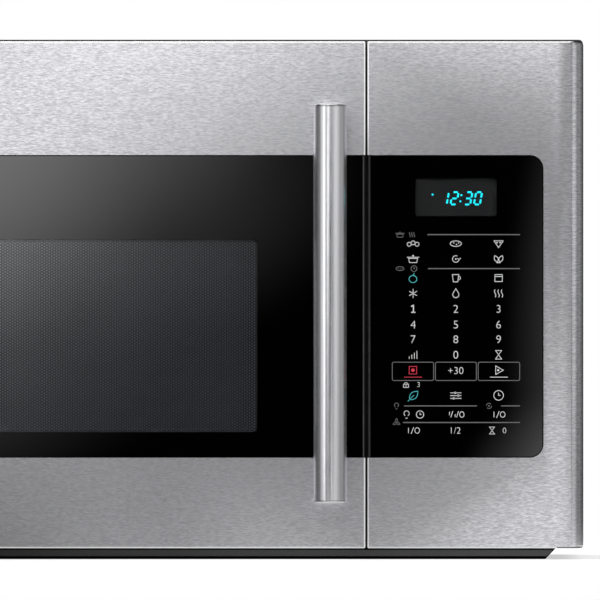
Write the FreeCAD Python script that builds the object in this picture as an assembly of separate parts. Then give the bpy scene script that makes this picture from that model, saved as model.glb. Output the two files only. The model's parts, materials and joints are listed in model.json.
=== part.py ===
import FreeCAD
import Part
import math
import os

# Over-the-range microwave. Millimetres: X to the right, the front faces -Y, Z up.
# The origin lies under the middle of the whole object, on the surface that it stands on.

# Rooms and depths that add up to the overall size
sheet = 1.0                  # case, cavity and base sheet
left_room = 32.5             # left side panel to the cavity
cavity_width = 520.0
cavity_depth = 336.0
cavity_height = 231.0
compartment_width = 202.5    # cavity to the right side panel
under_room = 89.0            # standing surface to the cavity
over_room = 107.0            # cavity to the top panel
rear_room = 11.0             # cavity to the rear panel
door_depth = 39.0
seal_gap = 1.0               # door to the front frame
handle_reach = 62.0          # door face to the front of the handle
base_rise = 9.4              # standing surface to the lower edge of the case

# Facings of the door and the control panel
skin = 1.2
side_bend = 11.0             # bend at the outer side edges; its centre is the hinge axis
edge_round = 1.4             # bend at the other edges
top_corner = 3.5
bottom_corner = 2.5
seam_corner = 1.2
seam = 1.7                   # gap between the door and the control panel
door_overlap = 24.3          # door edge past the cavity wall
band_drop = 5.8              # glass band below the cavity
band_lift = 13.3             # glass band above the cavity
band_inset = 33.0            # glass band from the outer side edges
band_corner = 11.4
hem = 0.8                    # rounding of the facing's edge round the glass band

# Glass, window and door frame
glass = 4.0
glass_recess = 0.6
glass_fit = 0.4
glass_bevel = 0.5
glass_end = 0.9              # glass edge back from the seam
window_side = 65.1           # window inside the cavity's side walls
window_low = 15.5            # window above the cavity floor
window_high = 57.0           # window below the cavity ceiling
window_corner = 4.0
window_lap = 8.0             # what the screen and the inner pane overlap the window by
screen = 0.6
pane = 2.0
frame_fit = 0.3
frame_wall = 3.0
frame_plate = 2.0
choke_cover = 2.0

# Hinges
hinge_plate = 1.4
hinge_arm = 3.0              # lower hinge plate
hinge_gap = 0.4              # hinge plates to the door
hinge_reach = 8.0            # plate round the pin
hinge_width = 38.0
hinge_leg = 2.0
hinge_leg_height = 30.0
pin_radius = 3.0
pin_length = 14.0
bush_radius = 5.0
bush_length = 16.0
hinge_block = 12.0
running = 0.05               # radial clearance of running fits
easy = 0.3                   # clearance of loose fits
close = 1e-6                 # two levels this near are the same
full_turn = 360

# Latch
latch_inset = 11.3           # latch centre from the door edge
latch_width = 10.0
latch_depth = 9.0
hook_distance = 90.0         # between the hooks
latch_end = 14.0
hook_width = 5.0
hook_height = 10.0
hook_reach = 16.0            # past the front frame
barb = 2.5
barb_length = 5.0
latch_travel = 3.0
swing_room = 3.0             # room beside a hook as the door swings
spring_radius = 3.5
spring_wire = 1.0
spring_length = 22.0
keeper_width = 18.0
keeper_depth = 26.0
keeper_end = 28.0
switch_size = (6.5, 16.0, 20.0)

# Handle
handle_inset = 29.2          # handle centre from the door edge
tube_radius = 13.75
tube_wall = 1.8
handle_below = 38.2          # handle end below the glass band
handle_above = 42.8          # handle end above the glass band
cap_thick = 3.0
cap_round = 1.6
spigot = 8.0
post_radius = 8.0
post_entry = 9.0             # post inside the tube
bolt_radius = 2.5
bolt_depth = 20.0
bolt_head_radius = 4.5
bolt_head = 3.0

# Control panel
carrier_wall = 2.5
carrier_plate = 2.5
display_left = 39.3          # display from the seam edge of the panel
display_width = 67.8
display_drop = 18.9          # display below the top of the glass band
display_height = 31.7
board_stand = 14.0           # glass to the control board
board = 1.6
board_margin = 14.0
standoff_radius = 3.0

# Case
flange = 18.0
foot_flange = 14.0
frame_flange = 14.0
base_slope = 9.0             # how far the base ends lean in
base_inset = 22.0            # base ends inside the case, at the top
base_front_gap = 3.0         # base rim behind the lower hinge
slot_width = 40.0            # wall plate slots in the rear panel
slot_height = 8.0
slot_spacing = 360.0
slot_rise = 22.0             # slot centre above the case edge
cabinet_spacing = 356.0      # cabinet bolts
cabinet_setback = 200.0      # cabinet bolts from the wall
cabinet_hole = 3.4
nut_radius = 8.0
nut_height = 6.0
nut_sides = 6
screw_radius = 2.0
screw_head_radius = 4.0
screw_head = 1.8
screw_length = 8.0
screw_rows = 4
bush_hole = 11.0             # power cord bush
cord_bore = 4.5
cord_flange = 4.0
cord_flange_height = 5.0

# Vents, filters and cooktop lamps
grille_length = 600.0
grille_depth = 50.0
grille_setback = 16.0        # grille behind the front frame
grille_lip = 6.0
grille_thick = 2.0
grille_slot = 4.0
grille_pitch = 12.0
charcoal_length = 260.0
charcoal_height = 18.0
clip = 2.0
clip_lip = 6.0
grease_length = 250.0
grease_width = 130.0
grease_height = 8.0
grease_rail = 12.0
grease_mesh = 3.0
grease_ledge = 11.0
grease_travel = 7.0
grease_setback = 70.0        # filter from the base's rear wall
grease_side = 30.0           # filter from the base's end
lens_length = 110.0
lens_width = 50.0
lens_ledge = 5.0
lens_thick = 2.5
lens_front = 24.0            # lens behind the base's front wall
lens_offset = 130.0          # lens from the middle
socket_size = 22.0
bulb_radius = 8.0
bulb_length = 34.0

# Hood blower
port_width = 254.0
port_depth = 83.0
port_setback = 60.0          # exhaust port centre from the wall
blower_foot = 2.0
blower_headroom = 13.0
scroll_width = 66.0
scroll_wall = 1.5
wheel_gap = 5.0              # wheel to scroll
wheel_ring = 4.0
wheel_blades = 18
wheel_blade = 1.2
wheel_disc = 3.0
shaft_radius = 4.0
hub_radius = 9.0
blower_motor_radius = 36.0
blower_motor_length = 84.0

# Turntable
tray_clear = 8.0             # tray to the cavity walls
tray_gap = 16.0              # tray above the cavity floor
tray_thick = 5.0
tray_rim = 7.0
tray_rim_width = 6.0
roller_inset = 55.0          # roller track inside the tray's edge
roller_width = 8.0
axle_radius = 2.0
axle_head = 3.2
axle_head_length = 1.5
ring_width = 8.0
ring_height = 6.0
ring_reach = 5.0             # ring to the wheels
rollers = 3
spindle_radius = 3.0
coupler_radius = 12.0
coupler_lobe = 8.0
turn_motor_radius = 25.0
turn_motor_height = 18.0
spindle_hole = 8.0

# Microwave source and electrics
tray_rise = 60.0             # component tray above the standing surface
tray_flange = 14.0
guide_shift = 20.0           # waveguide behind the cavity's middle
guide_drop = 70.0            # waveguide below the cavity ceiling
guide_length = 100.0
guide_height = 60.0
guide_depth = 40.0
guide_flange = 8.0
feed_length = 64.0
feed_height = 40.0
feed_lap = 8.0
mica = 0.6
antenna_radius = 7.5
antenna_length = 22.0
antenna_gap = 2.5
yoke_length = 66.0
yoke_width = 80.0
yoke_height = 68.0
yoke_plate = 1.5
core_radius = 18.0
fin_count = 6
fin = 0.8
filter_box_length = 36.0
core_size = (70.0, 100.0, 72.0)
core_leg = 20.0
winding_gap = 0.5
winding_overhang = 16.0
transformer_gap = 10.0       # transformer behind the noise filter board
capacitor_size = (34.0, 56.0, 84.0)
capacitor_tab = (2.0, 6.0, 10.0)
capacitor_shift = 24.0       # capacitor behind the transformer
diode_size = (8.0, 22.0, 9.0)
noise_board = (100.0, 60.0, 1.6)
noise_stand = 6.0
noise_shift = 30.0           # noise filter board behind the front frame
toroid_radius = 13.0
toroid_wire = 5.0
fan_size = 120.0
fan_depth = 30.0
fan_wall = 2.0
fan_orifice = 52.0
fan_gap = 4.0
fan_blades = 5
fan_blade = 1.5
fan_pitch = 30               # degrees
fan_hub_radius = 14.0
fan_hub = 12.0
fan_motor_radius = 22.0
fan_motor_length = 12.0
fan_spindle = 2.0
fan_bar = 12.0
lamp_house = (30.0, 40.0, 34.0)
lamp_wall = 1.5
lamp_shift = 60.0            # cavity lamp behind the cavity front
lamp_drop = 28.0             # cavity lamp below the ceiling
lamp_bulb = 9.0

# Places worked out from those sizes
width = left_room + cavity_width + compartment_width + 4 * sheet
height = under_room + cavity_height + over_room + 3 * sheet
case_depth = door_depth + seal_gap + cavity_depth + rear_room + 3 * sheet
right = width / 2
left = -right
back = (case_depth + handle_reach) / 2
face = back - case_depth
door_back = face + door_depth
cover_front = door_back - choke_cover
frame_front = door_back + seal_gap
frame_back = frame_front + sheet
inner_left = left + sheet
inner_right = right - sheet
inner_back = back - sheet
inner_top = height - sheet

cav_x0 = inner_left + left_room + sheet
cav_x1 = cav_x0 + cavity_width
cav_y0 = frame_back
cav_y1 = cav_y0 + cavity_depth
cav_z0 = under_room + sheet
cav_z1 = cav_z0 + cavity_height
cav_x = (cav_x0 + cav_x1) / 2
cav_y = (cav_y0 + cav_y1) / 2
cav_z = (cav_z0 + cav_z1) / 2
ceiling = cav_z1 + sheet
comp_x0 = cav_x1 + sheet
comp_x = (comp_x0 + inner_right) / 2

door_x0 = left
door_x1 = cav_x1 + door_overlap
door_z0 = base_rise
door_z1 = height - hinge_plate - hinge_gap
panel_x0 = door_x1 + seam
band_z0 = cav_z0 - band_drop
band_z1 = cav_z1 + band_lift
band_x0 = left + band_inset
band_x1 = right - band_inset
glass_front = face + glass_recess
glass_back = glass_front + glass
plate_back = glass_back + frame_plate
window_x0 = cav_x0 + window_side
window_x1 = cav_x1 - window_side
window_z0 = cav_z0 + window_low
window_z1 = cav_z1 - window_high

axis_x = left + side_bend
axis_y = face + side_bend
hinge_x0 = axis_x - hinge_reach
hinge_x1 = hinge_x0 + hinge_width
hinge_back = frame_back + hinge_leg

latch_x = door_x1 - latch_inset
hook_heights = (cav_z - hook_distance / 2, cav_z + hook_distance / 2)
hook_end = frame_back + hook_reach
latch_back = cover_front - easy
latch_front = latch_back - latch_depth
latch_z0 = hook_heights[0] - latch_end
latch_z1 = hook_heights[1] + latch_end

handle_x = door_x1 - handle_inset
handle_y = face - handle_reach + tube_radius
handle_z0 = band_z0 - handle_below
handle_z1 = band_z1 + handle_above
post_heights = (band_z0 - handle_below / 2, band_z1 + handle_above / 2)

base_top_half = right - base_inset
base_half = base_top_half - base_slope
base_y0 = hinge_back + base_front_gap
blower_y = back - port_setback
scroll_radius = (over_room - blower_foot - blower_headroom) / 2
blower_z = ceiling + blower_foot + scroll_radius
wheel_radius = scroll_radius - scroll_wall - wheel_gap

tray_radius = min(cavity_width, cavity_depth) / 2 - tray_clear
tray_z = cav_z0 + tray_gap
track_radius = tray_radius - roller_inset
roller_radius = tray_gap / 2 - easy
roller_z = cav_z0 + tray_gap / 2
wheel_start = track_radius - roller_width / 2
wheel_end = track_radius + roller_width / 2
ring_outer = wheel_start - ring_reach
ring_inner = ring_outer - ring_width

guide_y = cav_y + guide_shift
guide_z = cav_z1 - guide_drop
guide_x1 = comp_x0 + guide_depth
shelf = tray_rise + sheet
transformer_y = frame_back + noise_shift + noise_board[1] + transformer_gap + core_size[1] / 2
fan_z = guide_z
charcoal_z1 = inner_top - grille_thick
grille_y0 = frame_back + grille_setback
grille_y1 = grille_y0 + grille_depth


def box(x0, x1, y0, y1, z0, z1):
    return Part.makeBox(x1 - x0, y1 - y0, z1 - z0, FreeCAD.Vector(x0, y0, z0))


def rod(x, y, z, direction, radius, length):
    return Part.makeCylinder(radius, length, FreeCAD.Vector(x, y, z), FreeCAD.Vector(*direction))


def joined(shapes):
    return shapes[0].multiFuse(shapes[1:]).removeSplitter()


def rounded(plane, u0, u1, v0, v1, radii, w0, w1):
    # A block seen in one plane as a rectangle whose corners have these radii,
    # in the order low-low, high-low, high-high, low-high
    place = {"xz": lambda u, v: (u, w0, v), "xy": lambda u, v: (u, v, w0), "yz": lambda u, v: (w0, u, v)}
    along = {"xz": (0, w1 - w0, 0), "xy": (0, 0, w1 - w0), "yz": (w1 - w0, 0, 0)}

    def at(u, v):
        return FreeCAD.Vector(*place[plane](u, v))

    corners = ((u0, v0, 1, 1), (u1, v0, -1, 1), (u1, v1, -1, -1), (u0, v1, 1, -1))
    edges = []
    ends = []
    for number, (u, v, across, up) in enumerate(corners):
        radius = radii[number]
        beside = at(u + across * radius, v)
        above = at(u, v + up * radius)
        enter, leave = (above, beside) if number % 2 == 0 else (beside, above)
        ends.append((enter, leave))
        if radius > 0:
            inward = radius * (1 - math.sqrt(0.5))
            edges.append(Part.Arc(enter, at(u + across * inward, v + up * inward), leave).toShape())
    for number in range(4):
        start = ends[number][1]
        stop = ends[(number + 1) % 4][0]
        if start.distanceToPoint(stop) > close:
            edges.append(Part.makeLine(start, stop))
    outline = Part.Wire(Part.__sortEdges__(edges))
    return Part.Face(outline).extrude(FreeCAD.Vector(*along[plane]))


def bar(u0, u1, v0, v1, z0, z1, turn, x, y):
    # A block along a line that leaves the point x, y at an angle
    piece = box(u0, u1, v0, v1, z0, z1)
    piece.rotate(FreeCAD.Vector(0, 0, 0), FreeCAD.Vector(0, 0, 1), turn)
    piece.translate(FreeCAD.Vector(x, y, 0))
    return piece


# Facings

def facing_form(x0, x1, bends, corners, inset, rear):
    # The filled form of a pressed facing, drawn in by the inset on all sides but the rear
    def shrunk(radius):
        return max(radius - inset, 0)

    front = face + inset
    low = door_z0 + inset
    high = door_z1 - inset
    a = x0 + inset
    b = x1 - inset
    plan = rounded("xy", a, b, front, rear, (shrunk(bends[0]), shrunk(bends[1]), 0, 0), low, high)
    view = rounded("xz", a, b, low, high, [shrunk(radius) for radius in corners], front, rear)
    side = rounded("yz", front, rear, low, high, (shrunk(edge_round), 0, 0, shrunk(edge_round)), a, b)
    return plan.common(view).common(side)


def facing(x0, x1, bends, corners, rear, band):
    outer = facing_form(x0, x1, bends, corners, 0, rear)
    inner = facing_form(x0, x1, bends, corners, skin, rear + skin)
    shell = outer.cut(inner).cut(band)
    limits = band.BoundBox
    rim = []
    for edge in shell.Edges:
        bounds = edge.BoundBox
        flat = within(bounds.YMin, bounds.YMax, face)
        inside = bounds.ZMin > limits.ZMin - hem and bounds.ZMax < limits.ZMax + hem
        across = bounds.XMin > limits.XMin - hem and bounds.XMax < limits.XMax + hem
        if flat and inside and across:
            rim.append(edge)
    return shell.makeFillet(min(hem, skin / 2), rim)


def band_form(x0, x1, radii, y0, y1, inset):
    drawn_in = [max(radius - inset, 0) for radius in radii]
    return rounded("xz", x0, x1, band_z0 + inset, band_z1 - inset, drawn_in, y0, y1)


def within(low, high, level):
    return abs(low - level) < close and abs(high - level) < close


def bevelled(plate):
    rim = [edge for edge in plate.Edges if within(edge.BoundBox.YMin, edge.BoundBox.YMax, glass_front)]
    return plate.makeChamfer(glass_bevel, rim)


# Door

door_band_radii = (band_corner, 0, 0, band_corner)
panel_band_radii = (0, band_corner, band_corner, 0)


def door_skin():
    band = band_form(band_x0, door_x1 + seam, door_band_radii, face - skin, door_back, 0)
    corners = (bottom_corner, seam_corner, seam_corner, top_corner)
    shell = facing(door_x0, door_x1, (side_bend, edge_round), corners, cover_front, band)
    holes = []
    for z in (door_z0, door_z1 - 2 * skin):
        holes.append(rod(axis_x, axis_y, z, (0, 0, 1), bush_radius + easy, 2 * skin))
    for z in post_heights:
        holes.append(rod(handle_x, face, z, (0, 1, 0), bolt_radius + easy, skin))
    return shell.cut(holes)


def door_glass():
    x0 = band_x0 + glass_fit
    x1 = door_x1 - glass_end
    return bevelled(band_form(x0, x1, door_band_radii, glass_front, glass_back, glass_fit))


def window_form(margin, y0, y1):
    corner = window_corner + margin
    return rounded("xz", window_x0 - margin, window_x1 + margin, window_z0 - margin, window_z1 + margin,
                   (corner, corner, corner, corner), y0, y1)


def door_frame():
    x0 = door_x0 + skin + frame_fit
    x1 = door_x1 - skin - frame_fit
    z0 = door_z0 + skin + frame_fit
    z1 = door_z1 - skin - frame_fit
    y0 = face + skin
    corners = (bottom_corner, seam_corner, seam_corner, top_corner)
    body = rounded("xy", x0, x1, y0, cover_front, (side_bend, 0, 0, 0), z0, z1)
    body = body.common(rounded("xz", x0, x1, z0, z1, corners, y0, cover_front))
    hollow = box(x0 + frame_wall, x1 - frame_wall, plate_back, cover_front, z0 + frame_wall, z1 - frame_wall)
    kept = [window_form(frame_wall, y0, cover_front)]
    bores = []
    for low, foot in ((door_z0, door_z0), (door_z1 - bush_length - frame_wall, door_z1 - bush_length)):
        high = low + bush_length + frame_wall
        kept.append(box(x0, axis_x + hinge_block, y0, axis_y + hinge_block, low, high))
        bores.append(rod(axis_x, axis_y, foot, (0, 0, 1), bush_radius + running, bush_length))
    ledge_z = latch_z1 + spring_length
    kept.append(box(latch_x - latch_width, x1, plate_back, cover_front, ledge_z, ledge_z + frame_wall))
    cuts = [hollow.cut(kept)] + bores
    cuts.append(band_form(band_x0, door_x1, door_band_radii, y0, glass_back, 0))
    cuts.append(window_form(0, y0, cover_front))
    cuts.append(window_form(window_lap, glass_back, glass_back + screen))
    cuts.append(window_form(window_lap + easy, cover_front - pane, cover_front))
    for z in post_heights:
        cuts.append(rod(handle_x, y0, z, (0, 1, 0), bolt_radius + easy, plate_back - y0))
    return body.cut(cuts)


def door_screen():
    return window_form(window_lap - easy, glass_back, glass_back + screen)


def door_inner_window():
    return window_form(window_lap, cover_front - pane, cover_front)


def door_choke_cover():
    x1 = door_x1 - skin - frame_fit
    z0 = door_z0 + skin + frame_fit
    z1 = door_z1 - skin - frame_fit
    plate = rounded("xz", axis_x, x1, z0, z1, (bottom_corner,) * 4, cover_front, door_back)
    cuts = [window_form(frame_wall, cover_front, door_back)]
    for z in hook_heights:
        cuts.append(hook_room(z, cover_front, door_back, easy))
    return plate.cut(cuts)


def hook_room(z, y0, y1, side):
    # The way for one hook, with room for its barb and its lift
    low = z - hook_height / 2 - barb - easy
    high = z + hook_height / 2 + latch_travel + 2 * easy
    return box(latch_x - hook_width / 2 - side, latch_x + hook_width / 2 + side, y0, y1, low, high)


def door_latch():
    half = latch_width / 2
    parts = [box(latch_x - half, latch_x + half, latch_front, latch_back, latch_z0, latch_z1)]
    thick = hook_width / 2
    for z in hook_heights:
        low = z - hook_height / 2
        parts.append(box(latch_x - thick, latch_x + thick, latch_back, hook_end, low, z + hook_height / 2))
        parts.append(box(latch_x - thick, latch_x + thick, hook_end - barb_length, hook_end, low - barb, low))
    return joined(parts)


def latch_spring():
    y = (latch_front + latch_back) / 2
    tube = rod(latch_x, y, latch_z1, (0, 0, 1), spring_radius, spring_length)
    return tube.cut(rod(latch_x, y, latch_z1, (0, 0, 1), spring_radius - spring_wire, spring_length))


def hinge_bushes():
    bushes = []
    for z in (door_z0, door_z1 - bush_length):
        sleeve = rod(axis_x, axis_y, z, (0, 0, 1), bush_radius, bush_length)
        bushes.append(sleeve.cut(rod(axis_x, axis_y, z, (0, 0, 1), pin_radius + running, bush_length)))
    return Part.makeCompound(bushes)


def handle_tube():
    low = handle_z0 + cap_thick
    length = handle_z1 - cap_thick - low
    tube = rod(handle_x, handle_y, low, (0, 0, 1), tube_radius, length)
    cuts = [rod(handle_x, handle_y, low, (0, 0, 1), tube_radius - tube_wall, length)]
    for z in post_heights:
        cuts.append(rod(handle_x, handle_y, z, (0, 1, 0), post_radius + running, tube_radius))
    return tube.cut(cuts)


def handle_end_caps():
    caps = []
    for z, way in ((handle_z0, 1), (handle_z1, -1)):
        disc = rod(handle_x, handle_y, z, (0, 0, way), tube_radius, cap_thick)
        rim = [edge for edge in disc.Edges if within(edge.BoundBox.ZMin, edge.BoundBox.ZMax, z)]
        disc = disc.makeFillet(min(cap_round, cap_thick / 2), rim)
        inside = tube_radius - tube_wall - running
        plug = rod(handle_x, handle_y, z + way * cap_thick, (0, 0, way), inside, spigot)
        caps.append(joined([disc, plug]))
    return Part.makeCompound(caps)


def handle_posts():
    posts = []
    start = handle_y + tube_radius - post_entry
    for z in post_heights:
        post = rod(handle_x, start, z, (0, 1, 0), post_radius, face - start)
        posts.append(post.cut(rod(handle_x, face, z, (0, -1, 0), bolt_radius + running, bolt_depth + easy)))
    return Part.makeCompound(posts)


def handle_screws():
    screws = []
    for z in post_heights:
        shank = rod(handle_x, face - bolt_depth, z, (0, 1, 0), bolt_radius, plate_back - face + bolt_depth)
        head = rod(handle_x, plate_back, z, (0, 1, 0), bolt_head_radius, bolt_head)
        screws.append(joined([shank, head]))
    return Part.makeCompound(screws)


# Hinges and latch on the case

def hinge(z, thick, leg_z, pin_z):
    plate = joined([rod(axis_x, axis_y, z, (0, 0, 1), hinge_reach, thick),
                    box(hinge_x0, axis_x + hinge_reach, axis_y, hinge_back, z, z + thick),
                    box(hinge_x0, hinge_x1, frame_front, hinge_back, z, z + thick)])
    leg = box(hinge_x0, hinge_x1, frame_back, hinge_back, leg_z, leg_z + hinge_leg_height)
    pin = rod(axis_x, axis_y, pin_z, (0, 0, 1), pin_radius, pin_length)
    return joined([plate, leg, pin])


def upper_hinge():
    under = height - hinge_plate
    return hinge(under, hinge_plate, under - hinge_leg_height, under - pin_length)


def lower_hinge():
    over = door_z0 - hinge_gap
    return hinge(over - hinge_arm, hinge_arm, over, over)


def latch_body():
    half = keeper_width / 2
    low = hook_heights[0] - keeper_end
    body = box(latch_x - half, latch_x + half, frame_back, frame_back + keeper_depth,
               low, hook_heights[1] + keeper_end)
    return body.cut([hook_room(z, frame_back, hook_end + easy, swing_room) for z in hook_heights])


def interlock_switches():
    across, along, tall = switch_size
    x0 = latch_x + keeper_width / 2
    y0 = frame_back + keeper_depth - along
    cells = [box(x0, x0 + across, y0, y0 + along, z - tall / 2, z + tall / 2)
             for z in (hook_heights[0], cav_z, hook_heights[1])]
    return Part.makeCompound(cells)


# Control panel

def control_panel_skin():
    band = band_form(panel_x0 - seam, band_x1, panel_band_radii, face - skin, frame_front, 0)
    corners = (seam_corner, bottom_corner, top_corner, seam_corner)
    return facing(panel_x0, right, (edge_round, side_bend), corners, frame_front, band)


def control_panel_glass():
    x0 = panel_x0 + glass_end
    x1 = band_x1 - glass_fit
    return bevelled(band_form(x0, x1, panel_band_radii, glass_front, glass_back, glass_fit))


display_x0 = panel_x0 + display_left
display_x1 = display_x0 + display_width
display_z1 = band_z1 - display_drop
display_z0 = display_z1 - display_height
board_y = glass_back + board_stand
board_x0 = panel_x0 + board_margin
board_x1 = band_x1 - board_margin
board_z0 = band_z0 + board_margin
board_z1 = band_z1 - board_margin
standoff_inset = 2 * standoff_radius


def board_corners():
    return [(x, z) for x in (board_x0 + standoff_inset, board_x1 - standoff_inset)
            for z in (board_z0 + standoff_inset, board_z1 - standoff_inset)]


def control_panel_carrier():
    x0 = panel_x0 + skin + frame_fit
    x1 = right - skin - frame_fit
    z0 = door_z0 + skin + frame_fit
    z1 = door_z1 - skin - frame_fit
    y0 = face + skin
    plate_end = glass_back + carrier_plate
    corners = (seam_corner, bottom_corner, top_corner, seam_corner)
    body = rounded("xy", x0, x1, y0, frame_front, (0, side_bend, 0, 0), z0, z1)
    body = body.common(rounded("xz", x0, x1, z0, z1, corners, y0, frame_front))
    hollow = box(x0 + carrier_wall, x1 - side_bend, plate_end, frame_front,
                 z0 + carrier_wall, z1 - carrier_wall)
    stands = [rod(x, plate_end, z, (0, 1, 0), standoff_radius, board_y - plate_end)
              for x, z in board_corners()]
    cuts = [hollow.cut(stands), band_form(panel_x0, band_x1, panel_band_radii, y0, glass_back, 0)]
    cuts.append(box(display_x0 - easy, display_x1 + easy, y0, plate_end,
                    display_z0 - easy, display_z1 + easy))
    return body.cut(cuts)


def display_module():
    return box(display_x0, display_x1, glass_back, board_y, display_z0, display_z1)


def control_board():
    plate = box(board_x0, board_x1, board_y, board_y + board, board_z0, board_z1)
    third = (board_z1 - board_z0) / 3
    middle = (board_x0 + board_x1) / 2
    relay = board_margin
    blocks = [box(middle - relay, middle + relay, board_y + board, board_y + board + relay / 2, z, z + relay)
              for z in (board_z0 + relay, board_z0 + third, board_z0 + 2 * third)]
    return joined([plate] + blocks)


# Case

def front_frame():
    seat = base_rise + sheet
    plate = rounded("xz", inner_left, inner_right, seat, inner_top, (0, 0, top_corner, top_corner),
                    frame_front, frame_back)
    ends = [box(x, x + sheet, frame_back, frame_back + frame_flange,
                seat + sheet + easy, inner_top - top_corner) for x in (inner_left, inner_right - sheet)]
    foot = box(hinge_x1 + easy, inner_right - sheet, frame_back, base_y0 + frame_flange, seat, seat + sheet)
    cuts = [box(cav_x0, cav_x1, frame_front, frame_back, cav_z0, cav_z1)]
    notch = height - hinge_plate - easy
    cuts.append(box(hinge_x0 - easy, hinge_x1 + easy, frame_front, frame_back, notch, inner_top))
    for z in hook_heights:
        cuts.append(hook_room(z, frame_front, frame_back, swing_room))
    return joined([plate, foot] + ends).cut(cuts)


def oven_cavity():
    # A wrapper of floor, walls and ceiling, with the rear wall welded to its end
    outer = (cav_x0 - sheet, comp_x0)
    shell = box(*outer, cav_y0, cav_y1, under_room, ceiling)
    cuts = [box(cav_x0, cav_x1, cav_y0, cav_y1, cav_z0, cav_z1)]
    cuts.append(rod(cav_x, cav_y, under_room, (0, 0, 1), spindle_hole, sheet))
    cuts.append(box(cav_x1, comp_x0, guide_y - feed_length / 2, guide_y + feed_length / 2,
                    guide_z - feed_height / 2, guide_z + feed_height / 2))
    across, along, tall = lamp_house
    lamp_y = cav_y0 + lamp_shift
    lamp_z = cav_z1 - lamp_drop
    cuts.append(box(cav_x1, comp_x0, lamp_y - along / 4, lamp_y + along / 4,
                    lamp_z - tall / 4, lamp_z + tall / 4))
    rear_wall = box(*outer, cav_y1, cav_y1 + sheet, under_room, ceiling)
    return Part.makeCompound([shell.cut(cuts), rear_wall])


def side_panel():
    outer = rounded("xz", left, left + flange, base_rise, height, (0, 0, 0, top_corner),
                    frame_front, inner_back)
    seat = base_rise + sheet
    bend = max(top_corner - sheet, 0)
    inner = rounded("xz", inner_left, left + flange, base_rise, inner_top, (0, 0, 0, bend),
                    frame_front, inner_back)
    lip = box(inner_left, inner_left + foot_flange, base_y0 + 2 * frame_flange, inner_back,
              seat, seat + sheet)
    return joined([outer.cut(inner), lip])


def left_side_panel():
    return side_panel().cut(hinge_notch()).cut(screw_holes())


def right_side_panel():
    return side_panel().mirror(FreeCAD.Vector(0, 0, 0), FreeCAD.Vector(1, 0, 0)).cut(screw_holes())


def hinge_notch():
    return box(hinge_x0 - easy, hinge_x1 + easy, frame_front, hinge_back + easy, inner_top - easy, height)


def top_panel():
    plate = box(left + flange, right - flange, frame_front, inner_back, inner_top, height)
    cuts = [hinge_notch()]
    cuts.append(box(-port_width / 2, port_width / 2, blower_y - port_depth / 2, blower_y + port_depth / 2,
                    inner_top, height))
    cuts.append(box(-grille_length / 2, grille_length / 2, grille_y0, grille_y1, inner_top, height))
    for x in (-cabinet_spacing / 2, cabinet_spacing / 2):
        cuts.append(rod(x, back - cabinet_setback, inner_top, (0, 0, 1), cabinet_hole, sheet))
    cuts.append(rod(comp_x, blower_y, inner_top, (0, 0, 1), bush_hole, sheet))
    return plate.cut(cuts)


def rear_panel():
    plate = rounded("xz", left, right, base_rise, height, (0, 0, top_corner, top_corner), inner_back, back)
    slots = []
    for x in (-slot_spacing / 2, slot_spacing / 2):
        z = base_rise + slot_rise
        slots.append(box(x - slot_width / 2, x + slot_width / 2, inner_back, back,
                         z - slot_height / 2, z + slot_height / 2))
    return plate.cut(slots)


def grease_centres():
    x = base_half - grease_side - grease_length / 2
    y = inner_back - grease_setback - grease_width / 2
    return ((-x, y), (x, y))


def lens_centres():
    y = base_y0 + lens_front + lens_width / 2
    return ((-lens_offset, y), (lens_offset, y))


def trapezium(half, top_half, z0, z1, y0, y1):
    spots = ((-half, z0), (half, z0), (top_half, z1), (-top_half, z1), (-half, z0))
    outline = Part.makePolygon([FreeCAD.Vector(x, y0, z) for x, z in spots])
    return Part.Face(outline).extrude(FreeCAD.Vector(0, y1 - y0, 0))


def screw_places():
    y0 = base_y0 + 3 * frame_flange
    step = (inner_back - foot_flange - y0) / (screw_rows - 1)
    x = inner_right - foot_flange / 2
    return [(side * x, y0 + row * step) for side in (-1, 1) for row in range(screw_rows)]


def screw_holes():
    return [rod(x, y, base_rise, (0, 0, 1), screw_radius + running, 2 * sheet) for x, y in screw_places()]


def base_plate():
    lean = sheet * math.hypot(base_rise, base_slope) / base_rise
    pan = trapezium(base_half, base_top_half, 0, base_rise, base_y0, inner_back)
    floor_half = base_half - lean + base_slope * sheet / base_rise
    room = trapezium(floor_half, base_top_half - lean, sheet, base_rise, base_y0 + sheet, inner_back - sheet)
    rim = box(inner_left, inner_right, base_y0, inner_back, base_rise, base_rise + sheet)
    mouth = box(lean - base_top_half, base_top_half - lean, base_y0 + sheet, inner_back - sheet,
                base_rise, base_rise + sheet)
    cuts = []
    for centres, length, across, ledge in ((grease_centres(), grease_length, grease_width, grease_ledge),
                                           (lens_centres(), lens_length, lens_width, lens_ledge)):
        for x, y in centres:
            cuts.append(box(x - length / 2 + ledge, x + length / 2 - ledge,
                            y - across / 2 + ledge, y + across / 2 - ledge, 0, sheet))
    return joined([pan.cut(room), rim.cut(mouth)]).cut(cuts + screw_holes())


def case_screws():
    screws = []
    for x, y in screw_places():
        head = rod(x, y, base_rise - screw_head, (0, 0, 1), screw_head_radius, screw_head)
        screws.append(joined([head, rod(x, y, base_rise, (0, 0, 1), screw_radius, screw_length)]))
    return screws


def component_tray():
    y0 = frame_back + frame_flange
    floor = box(comp_x0, inner_right, y0, inner_back, tray_rise, shelf)
    inner_end = box(comp_x0, comp_x0 + sheet, y0, cav_y1, tray_rise, cav_z0 + tray_flange)
    outer_end = box(inner_right - sheet, inner_right, y0, inner_back, tray_rise, shelf + tray_flange)
    return joined([floor, inner_end, outer_end])


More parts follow.
